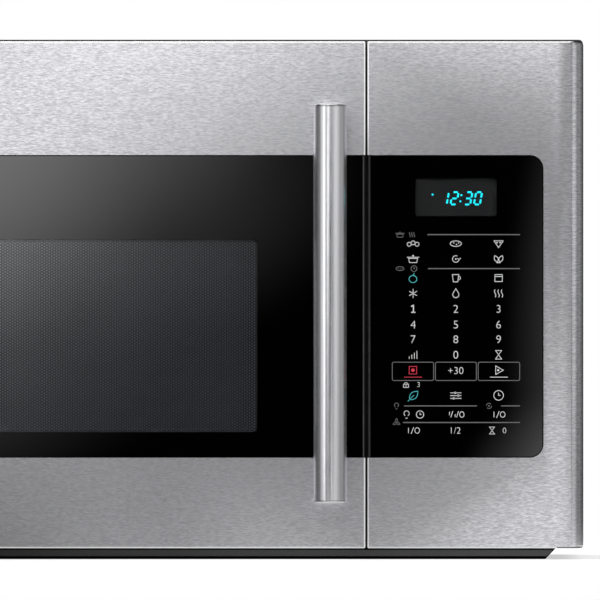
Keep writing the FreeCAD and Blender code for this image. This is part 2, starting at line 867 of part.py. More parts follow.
def weld_nuts():
    nuts = []
    for x in (-cabinet_spacing / 2, cabinet_spacing / 2):
        y = back - cabinet_setback
        z = inner_top - nut_height
        spots = []
        for corner in range(nut_sides + 1):
            angle = math.radians(full_turn * corner / nut_sides)
            across = nut_radius * math.cos(angle)
            along = nut_radius * math.sin(angle)
            spots.append(FreeCAD.Vector(x + across, y + along, z))
        hexagon = Part.Face(Part.makePolygon(spots)).extrude(FreeCAD.Vector(0, 0, nut_height))
        nuts.append(hexagon.cut(rod(x, y, z, (0, 0, 1), cabinet_hole, nut_height)))
    return nuts


def case_fasteners():
    return Part.makeCompound(case_screws() + weld_nuts())


def power_cord_bush():
    z = inner_top - cord_flange_height
    collar = rod(comp_x, blower_y, z, (0, 0, 1), bush_hole + cord_flange, cord_flange_height)
    neck = rod(comp_x, blower_y, inner_top, (0, 0, 1), bush_hole - running, sheet)
    bore = rod(comp_x, blower_y, z, (0, 0, 1), cord_bore, cord_flange_height + sheet)
    return joined([collar, neck]).cut(bore)


# Vents, filters and lamps

def vent_grille():
    half = grille_length / 2
    plug = box(easy - half, half - easy, grille_y0 + easy, grille_y1 - easy, inner_top, height)
    frame = box(-half - grille_lip, half + grille_lip, grille_y0 - grille_lip, grille_y1 + grille_lip,
                charcoal_z1, inner_top)
    parts = [plug, frame]
    low = charcoal_z1 - charcoal_height - easy
    reach = charcoal_length / 2 + easy
    for side in (-1, 1):
        ends = sorted((side * reach, side * (reach + clip)))
        parts.append(box(ends[0], ends[1], grille_y0, grille_y1, low - clip, charcoal_z1))
        lips = sorted((side * (reach - clip_lip), side * reach))
        parts.append(box(lips[0], lips[1], grille_y0, grille_y1, low - clip, low))
    slots = []
    count = int((grille_length - 2 * grille_lip) // grille_pitch)
    for number in range(count):
        x = (number - (count - 1) / 2) * grille_pitch
        slots.append(box(x - grille_slot / 2, x + grille_slot / 2, grille_y0 + grille_lip,
                         grille_y1 - grille_lip, charcoal_z1, height))
    return joined(parts).cut(slots)


def charcoal_filter():
    half = charcoal_length / 2
    return box(-half, half, grille_y0, grille_y1, charcoal_z1 - charcoal_height, charcoal_z1)


def grease_filter(number):
    x, y = grease_centres()[number]
    low = sheet + easy
    outer = box(x - grease_length / 2, x + grease_length / 2, y - grease_width / 2, y + grease_width / 2,
                low, low + grease_height)
    dip = (grease_height - grease_mesh) / 2
    dips = [box(x - grease_length / 2 + grease_rail, x + grease_length / 2 - grease_rail,
                y - grease_width / 2 + grease_rail, y + grease_width / 2 - grease_rail, z, z + dip)
            for z in (low, low + grease_height - dip)]
    return outer.cut(dips)


def cooktop_lamp_lenses():
    half = lens_length / 2
    return Part.makeCompound([box(x - half, x + half, y - lens_width / 2, y + lens_width / 2,
                                  sheet, sheet + lens_thick) for x, y in lens_centres()])


def cooktop_lamps():
    lamps = []
    z = sheet + lens_thick + easy + bulb_radius
    for x, y in lens_centres():
        y0 = y + lens_width / 2 + easy
        half = socket_size / 2
        socket = box(x - half, x + half, y0, y0 + socket_size, sheet, z + half)
        stem = rod(x, y0, z, (0, -1, 0), bulb_radius, bulb_length)
        tip = Part.makeSphere(bulb_radius, FreeCAD.Vector(x, y0 - bulb_length, z))
        lamps.append(joined([socket, stem, tip]))
    return Part.makeCompound(lamps)


# Hood blower

def scroll_start(side):
    outer = side * port_width / 2
    inner = side * (port_width / 2 - scroll_width)
    return min(outer, inner), max(outer, inner)


def scroll_form(x0, x1, inset, top):
    drum = rod(x0, blower_y, blower_z, (1, 0, 0), scroll_radius - inset, x1 - x0)
    reach = port_depth / 2 - inset
    return joined([drum, box(x0, x1, blower_y - reach, blower_y + reach, blower_z, top)])


def blower_housings():
    housings = []
    for side in (-1, 1):
        x0, x1 = scroll_start(side)
        outer = scroll_form(x0, x1, 0, inner_top)
        foot = box(x0, x1, blower_y - scroll_radius / 2, blower_y + scroll_radius / 2, ceiling, blower_z)
        inner = scroll_form(x0 + scroll_wall, x1 - scroll_wall, scroll_wall, inner_top)
        eye = rod(x0, blower_y, blower_z, (1, 0, 0), wheel_radius - wheel_ring, x1 - x0)
        housings.append(joined([outer, foot]).cut([inner, eye]))
    return Part.makeCompound(housings)


def blower_motor():
    half = blower_motor_length / 2
    drum = rod(-half, blower_y, blower_z, (1, 0, 0), blower_motor_radius, blower_motor_length)
    foot = box(-half / 2, half / 2, blower_y - blower_motor_radius / 2, blower_y + blower_motor_radius / 2,
               ceiling, blower_z)
    bore = rod(-half, blower_y, blower_z, (1, 0, 0), shaft_radius + running, blower_motor_length)
    return joined([drum, foot]).cut(bore)


def blower_shaft():
    half = port_width / 2 - scroll_wall - wheel_gap
    return rod(-half, blower_y, blower_z, (1, 0, 0), shaft_radius, 2 * half)


def blower_rotor():
    solids = [blower_shaft()]
    for side in (-1, 1):
        x0, x1 = scroll_start(side)
        x0 += scroll_wall + wheel_gap
        x1 -= scroll_wall + wheel_gap
        middle = (x0 + x1) / 2
        disc = rod(middle - wheel_disc / 2, blower_y, blower_z, (1, 0, 0), wheel_radius, wheel_disc)
        hub = rod(middle - hub_radius, blower_y, blower_z, (1, 0, 0), hub_radius, 2 * hub_radius)
        parts = [disc, hub]
        for x in (x0, x1 - wheel_disc):
            rim = rod(x, blower_y, blower_z, (1, 0, 0), wheel_radius, wheel_disc)
            eye = rod(x, blower_y, blower_z, (1, 0, 0), wheel_radius - wheel_ring, wheel_disc)
            parts.append(rim.cut(eye))
        blade_low = blower_z + wheel_radius - wheel_ring + wheel_blade / 2
        blade_high = blower_z + wheel_radius - wheel_blade
        centre = FreeCAD.Vector(0, blower_y, blower_z)
        for number in range(wheel_blades):
            blade = box(x0, x1, blower_y - wheel_blade / 2, blower_y + wheel_blade / 2, blade_low, blade_high)
            blade.rotate(centre, FreeCAD.Vector(1, 0, 0), full_turn * number / wheel_blades)
            parts.append(blade)
        bore = rod(x0, blower_y, blower_z, (1, 0, 0), shaft_radius + running, x1 - x0)
        solids.append(joined(parts).cut(bore))
    return Part.makeCompound(solids)


# Turntable

def turntable_motor():
    low = under_room - turn_motor_height
    drum = rod(cav_x, cav_y, low, (0, 0, 1), turn_motor_radius, turn_motor_height)
    return joined([drum, rod(cav_x, cav_y, under_room, (0, 0, 1), spindle_radius, tray_gap / 2)])


def turntable_coupler():
    low = cav_z0 + easy
    drum = rod(cav_x, cav_y, low, (0, 0, 1), coupler_radius, tray_z - low)
    lobes = [bar(0, coupler_radius + coupler_lobe, -coupler_lobe / 2, coupler_lobe / 2, roller_z, tray_z,
                 full_turn * number / rollers, cav_x, cav_y) for number in range(rollers)]
    socket = rod(cav_x, cav_y, low, (0, 0, 1), spindle_radius + running, tray_gap / 2)
    return joined([drum] + lobes).cut(socket)


def glass_tray():
    flat = tray_radius - tray_rim_width
    spots = ((0, 0), (flat, 0), (tray_radius, tray_rim), (tray_radius, tray_rim + tray_thick),
             (flat, tray_thick), (0, tray_thick), (0, 0))
    outline = Part.makePolygon([FreeCAD.Vector(cav_x + r, cav_y, tray_z + z) for r, z in spots])
    return Part.Face(outline).revolve(FreeCAD.Vector(cav_x, cav_y, 0), FreeCAD.Vector(0, 0, 1), full_turn)


def outward(number):
    angle = math.radians(full_turn * number / rollers)
    return -math.sin(angle), math.cos(angle)


def radial_rod(number, start, length, radius):
    x, y = outward(number)
    return rod(cav_x + start * x, cav_y + start * y, roller_z, (x, y, 0), radius, length)


def roller_ring():
    hoop = rod(cav_x, cav_y, roller_z - ring_height / 2, (0, 0, 1), ring_outer, ring_height)
    hoop = hoop.cut(rod(cav_x, cav_y, roller_z - ring_height / 2, (0, 0, 1), ring_inner, ring_height))
    parts = [hoop]
    start = ring_outer - ring_width / 2
    for number in range(rollers):
        parts.append(radial_rod(number, start, wheel_end + easy + axle_head_length - start, axle_radius))
        parts.append(radial_rod(number, wheel_end + easy, axle_head_length, axle_head))
        parts.append(radial_rod(number, start, wheel_start - easy - start, axle_head))
    return joined(parts)


def roller_wheel(number):
    wheel = radial_rod(number, wheel_start, roller_width, roller_radius)
    return wheel.cut(radial_rod(number, wheel_start, roller_width, axle_radius + running))


# Microwave source and electrics

def waveguide():
    y0 = guide_y - guide_length / 2
    y1 = guide_y + guide_length / 2
    z0 = guide_z - guide_height / 2
    z1 = guide_z + guide_height / 2
    duct = box(comp_x0, guide_x1, y0, y1, z0, z1)
    lip = box(comp_x0, comp_x0 + sheet, y0 - guide_flange, y1 + guide_flange,
              z0 - guide_flange, z1 + guide_flange)
    room = box(comp_x0, guide_x1 - sheet, y0 + sheet, y1 - sheet, z0 + sheet, z1 - sheet)
    port = rod(guide_x1 - sheet, guide_y, guide_z, (1, 0, 0), antenna_radius + antenna_gap, sheet)
    return joined([duct, lip]).cut([room, port])


def waveguide_cover():
    y = feed_length / 2 + feed_lap
    z = feed_height / 2 + feed_lap
    return box(cav_x1 - mica, cav_x1, guide_y - y, guide_y + y, guide_z - z, guide_z + z)


def magnetron():
    x1 = guide_x1 + yoke_length
    y0 = guide_y - yoke_width / 2
    y1 = guide_y + yoke_width / 2
    z0 = guide_z - yoke_height / 2
    z1 = guide_z + yoke_height / 2
    parts = [box(guide_x1, guide_x1 + yoke_plate, y0, y1, z0, z1), box(x1 - yoke_plate, x1, y0, y1, z0, z1)]
    parts += [box(guide_x1, x1, y0, y1, z, z + yoke_plate) for z in (z0, z1 - yoke_plate)]
    parts.append(rod(guide_x1, guide_y, guide_z, (1, 0, 0), core_radius, yoke_length))
    step = yoke_length / (fin_count + 1)
    for number in range(1, fin_count + 1):
        x = guide_x1 + number * step
        parts.append(box(x, x + fin, y0 + yoke_plate, y1 - yoke_plate, z0, z1))
    parts.append(rod(guide_x1, guide_y, guide_z, (-1, 0, 0), antenna_radius, antenna_length))
    parts.append(box(x1, x1 + filter_box_length, y0 + core_radius, y1 - core_radius,
                     z0 + yoke_plate, z1 - yoke_plate))
    return joined(parts)


def windings_room():
    # The two windows of the transformer core, either side of its middle leg
    along, tall = core_size[1], core_size[2]
    z0 = shelf + core_leg / 2
    z1 = shelf + tall - core_leg / 2
    y0 = transformer_y - along / 2 + core_leg / 2
    y1 = transformer_y + along / 2 - core_leg / 2
    return ((y0, transformer_y - core_leg / 2), (transformer_y + core_leg / 2, y1)), z0, z1


def transformer_core():
    across, along, tall = core_size
    windows, z0, z1 = windings_room()
    stack = box(comp_x - across / 2, comp_x + across / 2,
                transformer_y - along / 2, transformer_y + along / 2, shelf, shelf + tall)
    return stack.cut([box(comp_x - across / 2, comp_x + across / 2, y0, y1, z0, z1) for y0, y1 in windows])


def transformer_windings():
    across = core_size[0]
    windows, z0, z1 = windings_room()
    reach = across / 2 + winding_overhang
    y0 = windows[0][0] + winding_gap
    y1 = windows[1][1] - winding_gap
    hole_y0 = windows[0][1] - winding_gap
    hole_y1 = windows[1][0] + winding_gap
    middle = (z0 + z1) / 2
    coils = []
    for low, high in ((z0, middle - winding_gap / 2), (middle + winding_gap / 2, z1)):
        coil = box(comp_x - reach, comp_x + reach, y0, y1, low, high)
        inside = across / 2 + winding_gap
        coils.append(coil.cut(box(comp_x - inside, comp_x + inside, hole_y0, hole_y1, low, high)))
    return Part.makeCompound(coils)


capacitor_y = transformer_y + core_size[1] / 2 + capacitor_shift + capacitor_size[1] / 2


def hv_capacitor():
    across, along, tall = capacitor_size
    radius = across / 2 - easy
    can = rounded("xy", comp_x - across / 2, comp_x + across / 2,
                  capacitor_y - along / 2, capacitor_y + along / 2, (radius,) * 4, shelf, shelf + tall)
    thick, broad, high = capacitor_tab
    tabs = [box(comp_x - thick / 2, comp_x + thick / 2, y - broad / 2, y + broad / 2,
                shelf + tall, shelf + tall + high)
            for y in (capacitor_y - along / 4, capacitor_y + along / 4)]
    return joined([can] + tabs)


def hv_diode():
    across, along, tall = diode_size
    low = shelf + capacitor_size[2]
    return box(comp_x + across / 2, comp_x + 3 * across / 2, capacitor_y - along / 2, capacitor_y + along / 2,
               low, low + tall)


def noise_filter_board():
    across, along, thick = noise_board
    x0 = comp_x - across / 2
    y0 = frame_back + noise_shift
    z = shelf + noise_stand
    parts = [box(x0, x0 + across, y0, y0 + along, z, z + thick)]
    inset = 2 * standoff_radius
    for x in (x0 + inset, x0 + across - inset):
        for y in (y0 + inset, y0 + along - inset):
            parts.append(rod(x, y, shelf, (0, 0, 1), standoff_radius, noise_stand))
    top = z + thick
    middle = y0 + along / 2
    coil = rod(comp_x, middle, top, (0, 0, 1), toroid_radius, 2 * toroid_wire)
    parts.append(coil.cut(rod(comp_x, middle, top, (0, 0, 1), toroid_radius - toroid_wire, 2 * toroid_wire)))
    return joined(parts)


fan_front = inner_back - fan_depth
fan_motor_front = inner_back - fan_wall - fan_motor_length


def cooling_fan_shroud():
    half = fan_size / 2
    duct = box(comp_x - half, comp_x + half, fan_front, inner_back, fan_z - half, fan_z + half)
    inner = half - fan_wall
    cuts = [box(comp_x - inner, comp_x + inner, fan_front + fan_wall, inner_back,
                fan_z - inner, fan_z + inner)]
    cuts.append(rod(comp_x, fan_front, fan_z, (0, 1, 0), fan_orifice, fan_wall))
    spider = box(comp_x - inner, comp_x + inner, inner_back - fan_wall, inner_back,
                 fan_z - fan_bar / 2, fan_z + fan_bar / 2)
    return joined([duct.cut(cuts), spider])


def cooling_fan_motor():
    drum = rod(comp_x, fan_motor_front, fan_z, (0, 1, 0), fan_motor_radius, fan_motor_length)
    depth = fan_motor_length - fan_wall
    return drum.cut(rod(comp_x, fan_motor_front, fan_z, (0, 1, 0), fan_spindle + running, depth))


def cooling_fan_blade():
    start = fan_motor_front - easy - fan_hub
    hub = rod(comp_x, start, fan_z, (0, 1, 0), fan_hub_radius, fan_hub)
    spindle = rod(comp_x, start, fan_z, (0, 1, 0), fan_spindle, fan_hub + fan_motor_length - 2 * fan_wall)
    parts = [hub, spindle]
    middle = FreeCAD.Vector(comp_x, start + fan_hub / 2, fan_z)
    for number in range(fan_blades):
        blade = box(comp_x - fan_hub / 2, comp_x + fan_hub / 2,
                    middle.y - fan_blade / 2, middle.y + fan_blade / 2,
                    fan_z + fan_hub_radius / 2, fan_z + fan_orifice - fan_gap)
        blade.rotate(middle, FreeCAD.Vector(0, 0, 1), fan_pitch)
        blade.rotate(middle, FreeCAD.Vector(0, 1, 0), full_turn * number / fan_blades)
        parts.append(blade)
    return joined(parts)


def cavity_lamp():
    across, along, tall = lamp_house
    y = cav_y0 + lamp_shift
    z = cav_z1 - lamp_drop
    shell = box(comp_x0, comp_x0 + across, y - along / 2, y + along / 2, z - tall / 2, z + tall / 2)
    room = box(comp_x0, comp_x0 + across - lamp_wall, y - along / 2 + lamp_wall, y + along / 2 - lamp_wall,
               z - tall / 2 + lamp_wall, z + tall / 2 - lamp_wall)
    bulb = rod(comp_x0 + across - lamp_wall, y, z, (-1, 0, 0), lamp_bulb, across / 2)
    return joined([shell.cut(room), bulb])


pieces = {
    "front_frame": front_frame,
    "oven_cavity": oven_cavity,
    "left_side_panel": left_side_panel,
    "right_side_panel": right_side_panel,
    "top_panel": top_panel,
    "rear_panel": rear_panel,
    "base_plate": base_plate,
    "component_tray": component_tray,
    "case_fasteners": case_fasteners,
    "power_cord_bush": power_cord_bush,
    "vent_grille": vent_grille,
    "charcoal_filter": charcoal_filter,
    "grease_filter_left": lambda: grease_filter(0),
    "grease_filter_right": lambda: grease_filter(1),
    "cooktop_lamp_lenses": cooktop_lamp_lenses,
    "cooktop_lamps": cooktop_lamps,
    "blower_housings": blower_housings,
    "blower_motor": blower_motor,
    "blower_rotor": blower_rotor,
    "turntable_motor": turntable_motor,
    "turntable_coupler": turntable_coupler,
    "glass_tray": glass_tray,
    "roller_ring": roller_ring,
    "waveguide": waveguide,
    "waveguide_cover": waveguide_cover,
    "magnetron": magnetron,
    "transformer_core": transformer_core,
    "transformer_windings": transformer_windings,
    "hv_capacitor": hv_capacitor,
    "hv_diode": hv_diode,
    "noise_filter_board": noise_filter_board,
    "cooling_fan_shroud": cooling_fan_shroud,
    "cooling_fan_motor": cooling_fan_motor,
    "cooling_fan_blade": cooling_fan_blade,
    "cavity_lamp": cavity_lamp,
    "upper_hinge": upper_hinge,
    "lower_hinge": lower_hinge,
    "latch_body": latch_body,
    "interlock_switches": interlock_switches,
    "control_panel_skin": control_panel_skin,
    "control_panel_glass": control_panel_glass,
    "control_panel_carrier": control_panel_carrier,
    "display_module": display_module,
    "control_board": control_board,
    "door_skin": door_skin,
    "door_glass": door_glass,
    "door_frame": door_frame,
    "door_screen": door_screen,
    "door_inner_window": door_inner_window,
    "door_choke_cover": door_choke_cover,
    "door_latch": door_latch,
    "latch_spring": latch_spring,
    "hinge_bushes": hinge_bushes,
    "handle_tube": handle_tube,
    "handle_end_caps": handle_end_caps,
    "handle_posts": handle_posts,
    "handle_screws": handle_screws,
}
for wheel_number in range(rollers):
    pieces["roller_wheel_%d" % (wheel_number + 1)] = lambda number=wheel_number: roller_wheel(number)

os.makedirs("parts", exist_ok=True)
for name, make in pieces.items():
    shape = make()
    shape.exportStep("parts/%s.step" % name)
    print(name, len(shape.Solids), "solids", "valid" if shape.isValid() else "NOT VALID", round(shape.Volume))
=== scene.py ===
import json
import math

import bmesh
import bpy
from mathutils import Matrix, Vector


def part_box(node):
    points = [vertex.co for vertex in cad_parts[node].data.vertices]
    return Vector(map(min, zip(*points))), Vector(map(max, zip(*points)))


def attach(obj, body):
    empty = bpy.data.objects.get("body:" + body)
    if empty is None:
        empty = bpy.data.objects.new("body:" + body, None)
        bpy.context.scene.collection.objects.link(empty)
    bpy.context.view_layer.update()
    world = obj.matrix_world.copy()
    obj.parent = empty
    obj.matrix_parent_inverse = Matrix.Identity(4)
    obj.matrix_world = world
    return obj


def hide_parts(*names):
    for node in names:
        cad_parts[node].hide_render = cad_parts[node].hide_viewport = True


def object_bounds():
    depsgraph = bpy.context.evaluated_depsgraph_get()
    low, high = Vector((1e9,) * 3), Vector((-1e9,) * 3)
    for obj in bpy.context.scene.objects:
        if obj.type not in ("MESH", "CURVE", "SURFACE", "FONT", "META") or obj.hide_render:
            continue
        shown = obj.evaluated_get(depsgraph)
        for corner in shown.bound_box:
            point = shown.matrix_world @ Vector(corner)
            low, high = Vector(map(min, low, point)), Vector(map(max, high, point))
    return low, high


# Over-the-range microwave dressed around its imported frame. Metres, the front faces -Y.
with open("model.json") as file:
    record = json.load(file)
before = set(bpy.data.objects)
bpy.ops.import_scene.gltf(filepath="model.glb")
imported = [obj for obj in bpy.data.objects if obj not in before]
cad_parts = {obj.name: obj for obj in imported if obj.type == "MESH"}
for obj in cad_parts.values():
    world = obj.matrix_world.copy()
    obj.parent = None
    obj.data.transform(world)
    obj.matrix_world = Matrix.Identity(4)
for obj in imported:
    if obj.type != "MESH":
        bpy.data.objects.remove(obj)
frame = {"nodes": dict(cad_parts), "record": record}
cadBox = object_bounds()
cadNodes = frame["nodes"]
scene = bpy.context.scene
mm = 0.001
tiny = 0.02 * mm             # smallest radius, in place of a sharp corner
weld = 0.002 * mm            # points nearer than this are one
hair = 0.05 * mm             # smallest rounding of an edge
print("frame loaded,", len(cadNodes), "nodes")

# The photograph's frame, set on the plane of the facing
photo = {
    "pixels": 600,
    "scale": 0.826 * mm,     # one pixel at the facing
    "rightEdge": 583.5,      # pixel column of the object's right edge
    "floorLine": 559.7,      # pixel row of the standing surface
}


def photoX(column):
    return cadBox[1].x - (photo["rightEdge"] - column) * photo["scale"]


def photoZ(row):
    return (photo["floorLine"] - row) * photo["scale"]


# Node helpers

def put(socket, value):
    if isinstance(value, bpy.types.NodeSocket):
        socket.id_data.links.new(value, socket)
    else:
        socket.default_value = value


def addNode(tree, kind, settings=None, **inputs):
    node = tree.nodes.new(kind)
    for name, value in (settings or {}).items():
        setattr(node, name, value)
    for name, value in inputs.items():
        put(node.inputs[name], value)
    return node


def mathOf(operation, *values, clamp=False):
    tree = next(value.id_data for value in values if isinstance(value, bpy.types.NodeSocket))
    node = addNode(tree, "ShaderNodeMath", {"operation": operation, "use_clamp": clamp})
    for socket, value in zip(node.inputs, values):
        put(socket, value)
    return node.outputs[0]


def plus(first, second):
    return mathOf("ADD", first, second)


def minus(first, second):
    return mathOf("SUBTRACT", first, second)


def times(first, second):
    return mathOf("MULTIPLY", first, second)


def shared(first, share, second):
    return plus(times(first, share), times(second, 1 - share))


def ranged(value, low, high, toLow=0.0, toHigh=1.0, kind="LINEAR"):
    limits = {"From Min": low, "From Max": high, "To Min": toLow, "To Max": toHigh}
    return addNode(value.id_data, "ShaderNodeMapRange", {"interpolation_type": kind, "clamp": True},
                   Value=value, **limits).outputs[0]


def mixedColour(factor, first, second):
    node = addNode(factor.id_data, "ShaderNodeMix", {"data_type": "RGBA"})
    for number, value in ((0, factor), (6, first), (7, second)):
        put(node.inputs[number], value)
    return node.outputs[2]


def mixShaders(factor, first, second, output):
    choice = addNode(output.id_data, "ShaderNodeMixShader")
    for socket, value in zip(choice.inputs, (factor, first.outputs[0], second.outputs[0])):
        put(socket, value)
    put(output.inputs["Surface"], choice.outputs[0])


def noiseOf(vector, scale, detail=2.0, roughness=0.5, distortion=0.0):
    return addNode(vector.id_data, "ShaderNodeTexNoise", None, Vector=vector, Scale=scale, Detail=detail,
                   Roughness=roughness, Distortion=distortion).outputs[0]


def ownPlace(tree):
    return addNode(tree, "ShaderNodeTexCoord").outputs["Object"]


def lightPath(tree, kind):
    return addNode(tree, "ShaderNodeLightPath").outputs[kind]


def newGroup(name, kind, inputs, outputs):
    tree = bpy.data.node_groups.new(name, kind)
    for way, sockets in (("INPUT", inputs), ("OUTPUT", outputs)):
        for label, word in sockets.items():
            tree.interface.new_socket(label, in_out=way, socket_type="NodeSocket" + word)
    return tree, tree.nodes.new("NodeGroupInput").outputs, tree.nodes.new("NodeGroupOutput").inputs


def shade(level):
    return (*level, 1.0) if isinstance(level, tuple) else (level, level, level, 1.0)


# Shared surface effects
coat = {"Colour": "Color", "Roughness": "Float", "Height": "Float"}


def brushedGrainGroup():
    tree, given, made = newGroup("brushed grain", "ShaderNodeTree", {
        "Light": "Color", "Dark": "Color", "Strokes": "Vector", "Smooth": "Float", "Rough": "Float"}, coat)
    where = ownPlace(tree)
    stretched = addNode(tree, "ShaderNodeVectorMath", {"operation": "MULTIPLY"})
    put(stretched.inputs[0], where)
    put(stretched.inputs[1], given["Strokes"])
    strokes = noiseOf(stretched.outputs[0], 1.0, 2.0, 0.5, 0.1)
    sharp = ranged(strokes, 0.3, 0.7)
    mixed = shared(sharp, 0.6, noiseOf(where, 9.0, 3.0))
    put(made["Colour"], mixedColour(sharp, given["Dark"], given["Light"]))
    put(made["Roughness"], ranged(mixed, 0.2, 0.8, given["Rough"], given["Smooth"]))
    put(made["Height"], strokes)
    return tree


def mottleGroup():
    tree, given, made = newGroup("mottle", "ShaderNodeTree", {
        "First": "Color", "Second": "Color", "Grain": "Float", "Cloud": "Float", "Smooth": "Float",
        "Rough": "Float"}, coat)
    where = ownPlace(tree)
    fine = noiseOf(where, given["Grain"])
    slow = noiseOf(where, given["Cloud"], 4.0, 0.6)
    spread = ranged(shared(fine, 0.45, slow), 0.3, 0.7)
    put(made["Colour"], mixedColour(spread, given["First"], given["Second"]))
    put(made["Roughness"], ranged(slow, 0.3, 0.7, given["Smooth"], given["Rough"]))
    put(made["Height"], fine)
    return tree


def handlingGroup():
    # Faint wiped film: it only changes gloss
    tree, given, made = newGroup("handling film", "ShaderNodeTree", {"Clean": "Float", "Film": "Float"},
                                 {"Roughness": "Float"})
    wiped = addNode(tree, "ShaderNodeMapping", None, Vector=ownPlace(tree), Rotation=(0.0, 0.6, 0.0),
                    Scale=(6.0, 6.0, 30.0))
    film = noiseOf(wiped.outputs[0], 1.0, 5.0, 0.6)
    put(made["Roughness"], ranged(film, 0.45, 0.8, given["Clean"], given["Film"], "SMOOTHSTEP"))
    return tree


effects = {"brushed": brushedGrainGroup(), "mottle": mottleGroup(), "film": handlingGroup()}


def newMaterial(name, **constants):
    material = bpy.data.materials.new(name)
    material.use_nodes = True
    tree = material.node_tree
    tree.nodes.clear()
    output = addNode(tree, "ShaderNodeOutputMaterial")
    shader = addNode(tree, "ShaderNodeBsdfPrincipled", None, **constants)
    put(output.inputs["Surface"], shader.outputs[0])
    return material, tree, shader


def placeEffect(tree, name, **inputs):
    return addNode(tree, "ShaderNodeGroup", {"node_tree": effects[name]}, **inputs).outputs


def coated(shader, seen, bump, depth):
    relief = addNode(shader.id_data, "ShaderNodeBump", None, Strength=bump, Distance=depth,
                     Height=seen["Height"])
    for socket, value in (("Base Color", seen["Colour"]), ("Roughness", seen["Roughness"]),
                          ("Normal", relief.outputs[0])):
        put(shader.inputs[socket], value)


def mottledFinish(slot, first, second, smooth, rough, metallic=0.0, grain=900.0, cloud=14.0, bump=0.15,
                  depth=0.05 * mm, shine=0.5):
    material, tree, shader = newMaterial(slot, **{"Metallic": metallic, "Specular IOR Level": shine})
    seen = placeEffect(tree, "mottle", First=shade(first), Second=shade(second), Grain=grain, Cloud=cloud,
                       Smooth=smooth, Rough=rough)
    coated(shader, seen, bump, depth)
    return material


def brushedFinish(slot, light, dark, smooth, rough, strokes, bump, anisotropy, depth=0.03 * mm):
    material, tree, shader = newMaterial(slot, Metallic=1.0, Anisotropic=anisotropy)
    seen = placeEffect(tree, "brushed", Light=shade(light), Dark=shade(dark), Strokes=strokes, Smooth=smooth,
                       Rough=rough)
    coated(shader, seen, bump, depth)
    if anisotropy:
        shader.inputs["Anisotropic Rotation"].default_value = 0.25     # gloss spreads across the strokes
        along = addNode(tree, "ShaderNodeTangent", {"direction_type": "RADIAL", "axis": "Z"})
        put(shader.inputs["Tangent"], along.outputs[0])
    return material


def glassFinish(slot, colour, clean, film, ior, shadowTint=None):
    # Clear glass has a tint for shadow rays, which pass and light what lies behind; the rest is opaque
    material, tree, shader = newMaterial(slot, **{"Base Color": shade(colour), "IOR": ior})
    seen = placeEffect(tree, "film", Clean=clean, Film=film)
    put(shader.inputs["Roughness"], seen["Roughness"])
    if shadowTint:
        shader.inputs["Transmission Weight"].default_value = 1.0
        passing = addNode(tree, "ShaderNodeBsdfTransparent", None, Color=shade(shadowTint))
        mixShaders(lightPath(tree, "Is Shadow Ray"), shader, passing, tree.nodes["Material Output"])
    return material


# Light and dark, smooth and rough, strokes in each direction, bump, anisotropy
brushed = {
    "brushed_facing": ((0.76, 0.76, 0.788), (0.47, 0.47, 0.491), 0.2, 0.26, (260.0, 260.0, 1250.0),
                       0.008, 0.5),
    "handle_steel": ((0.83, 0.83, 0.86), (0.79, 0.79, 0.818), 0.2, 0.25, (700.0, 700.0, 60.0), 0.004, 0.0),
    "cap_steel": (0.7, 0.64, 0.12, 0.18, (500.0, 500.0, 500.0), 0.05, 0.0),
}
# Colour, clean and filmed roughness, refraction, tint of the shadow
glasses = {
    "band_glass": ((0.86, 0.87, 0.88), 0.012, 0.03, 1.6, 0.85),
    "blackGlass": (0.0004, 0.012, 0.03, 1.8),
    "clear_pane": ((0.5, 0.51, 0.52), 0.35, 0.45, 1.45, 0.5),
    "tray_glass": ((0.9, 0.96, 0.94), 0.03, 0.08, 1.5, 0.8),
    "lens_glass": ((0.93, 0.93, 0.9), 0.3, 0.4, 1.48, 0.7),
    "lamp_glass": ((0.97, 0.95, 0.88), 0.05, 0.1, 1.45, 0.8),
}
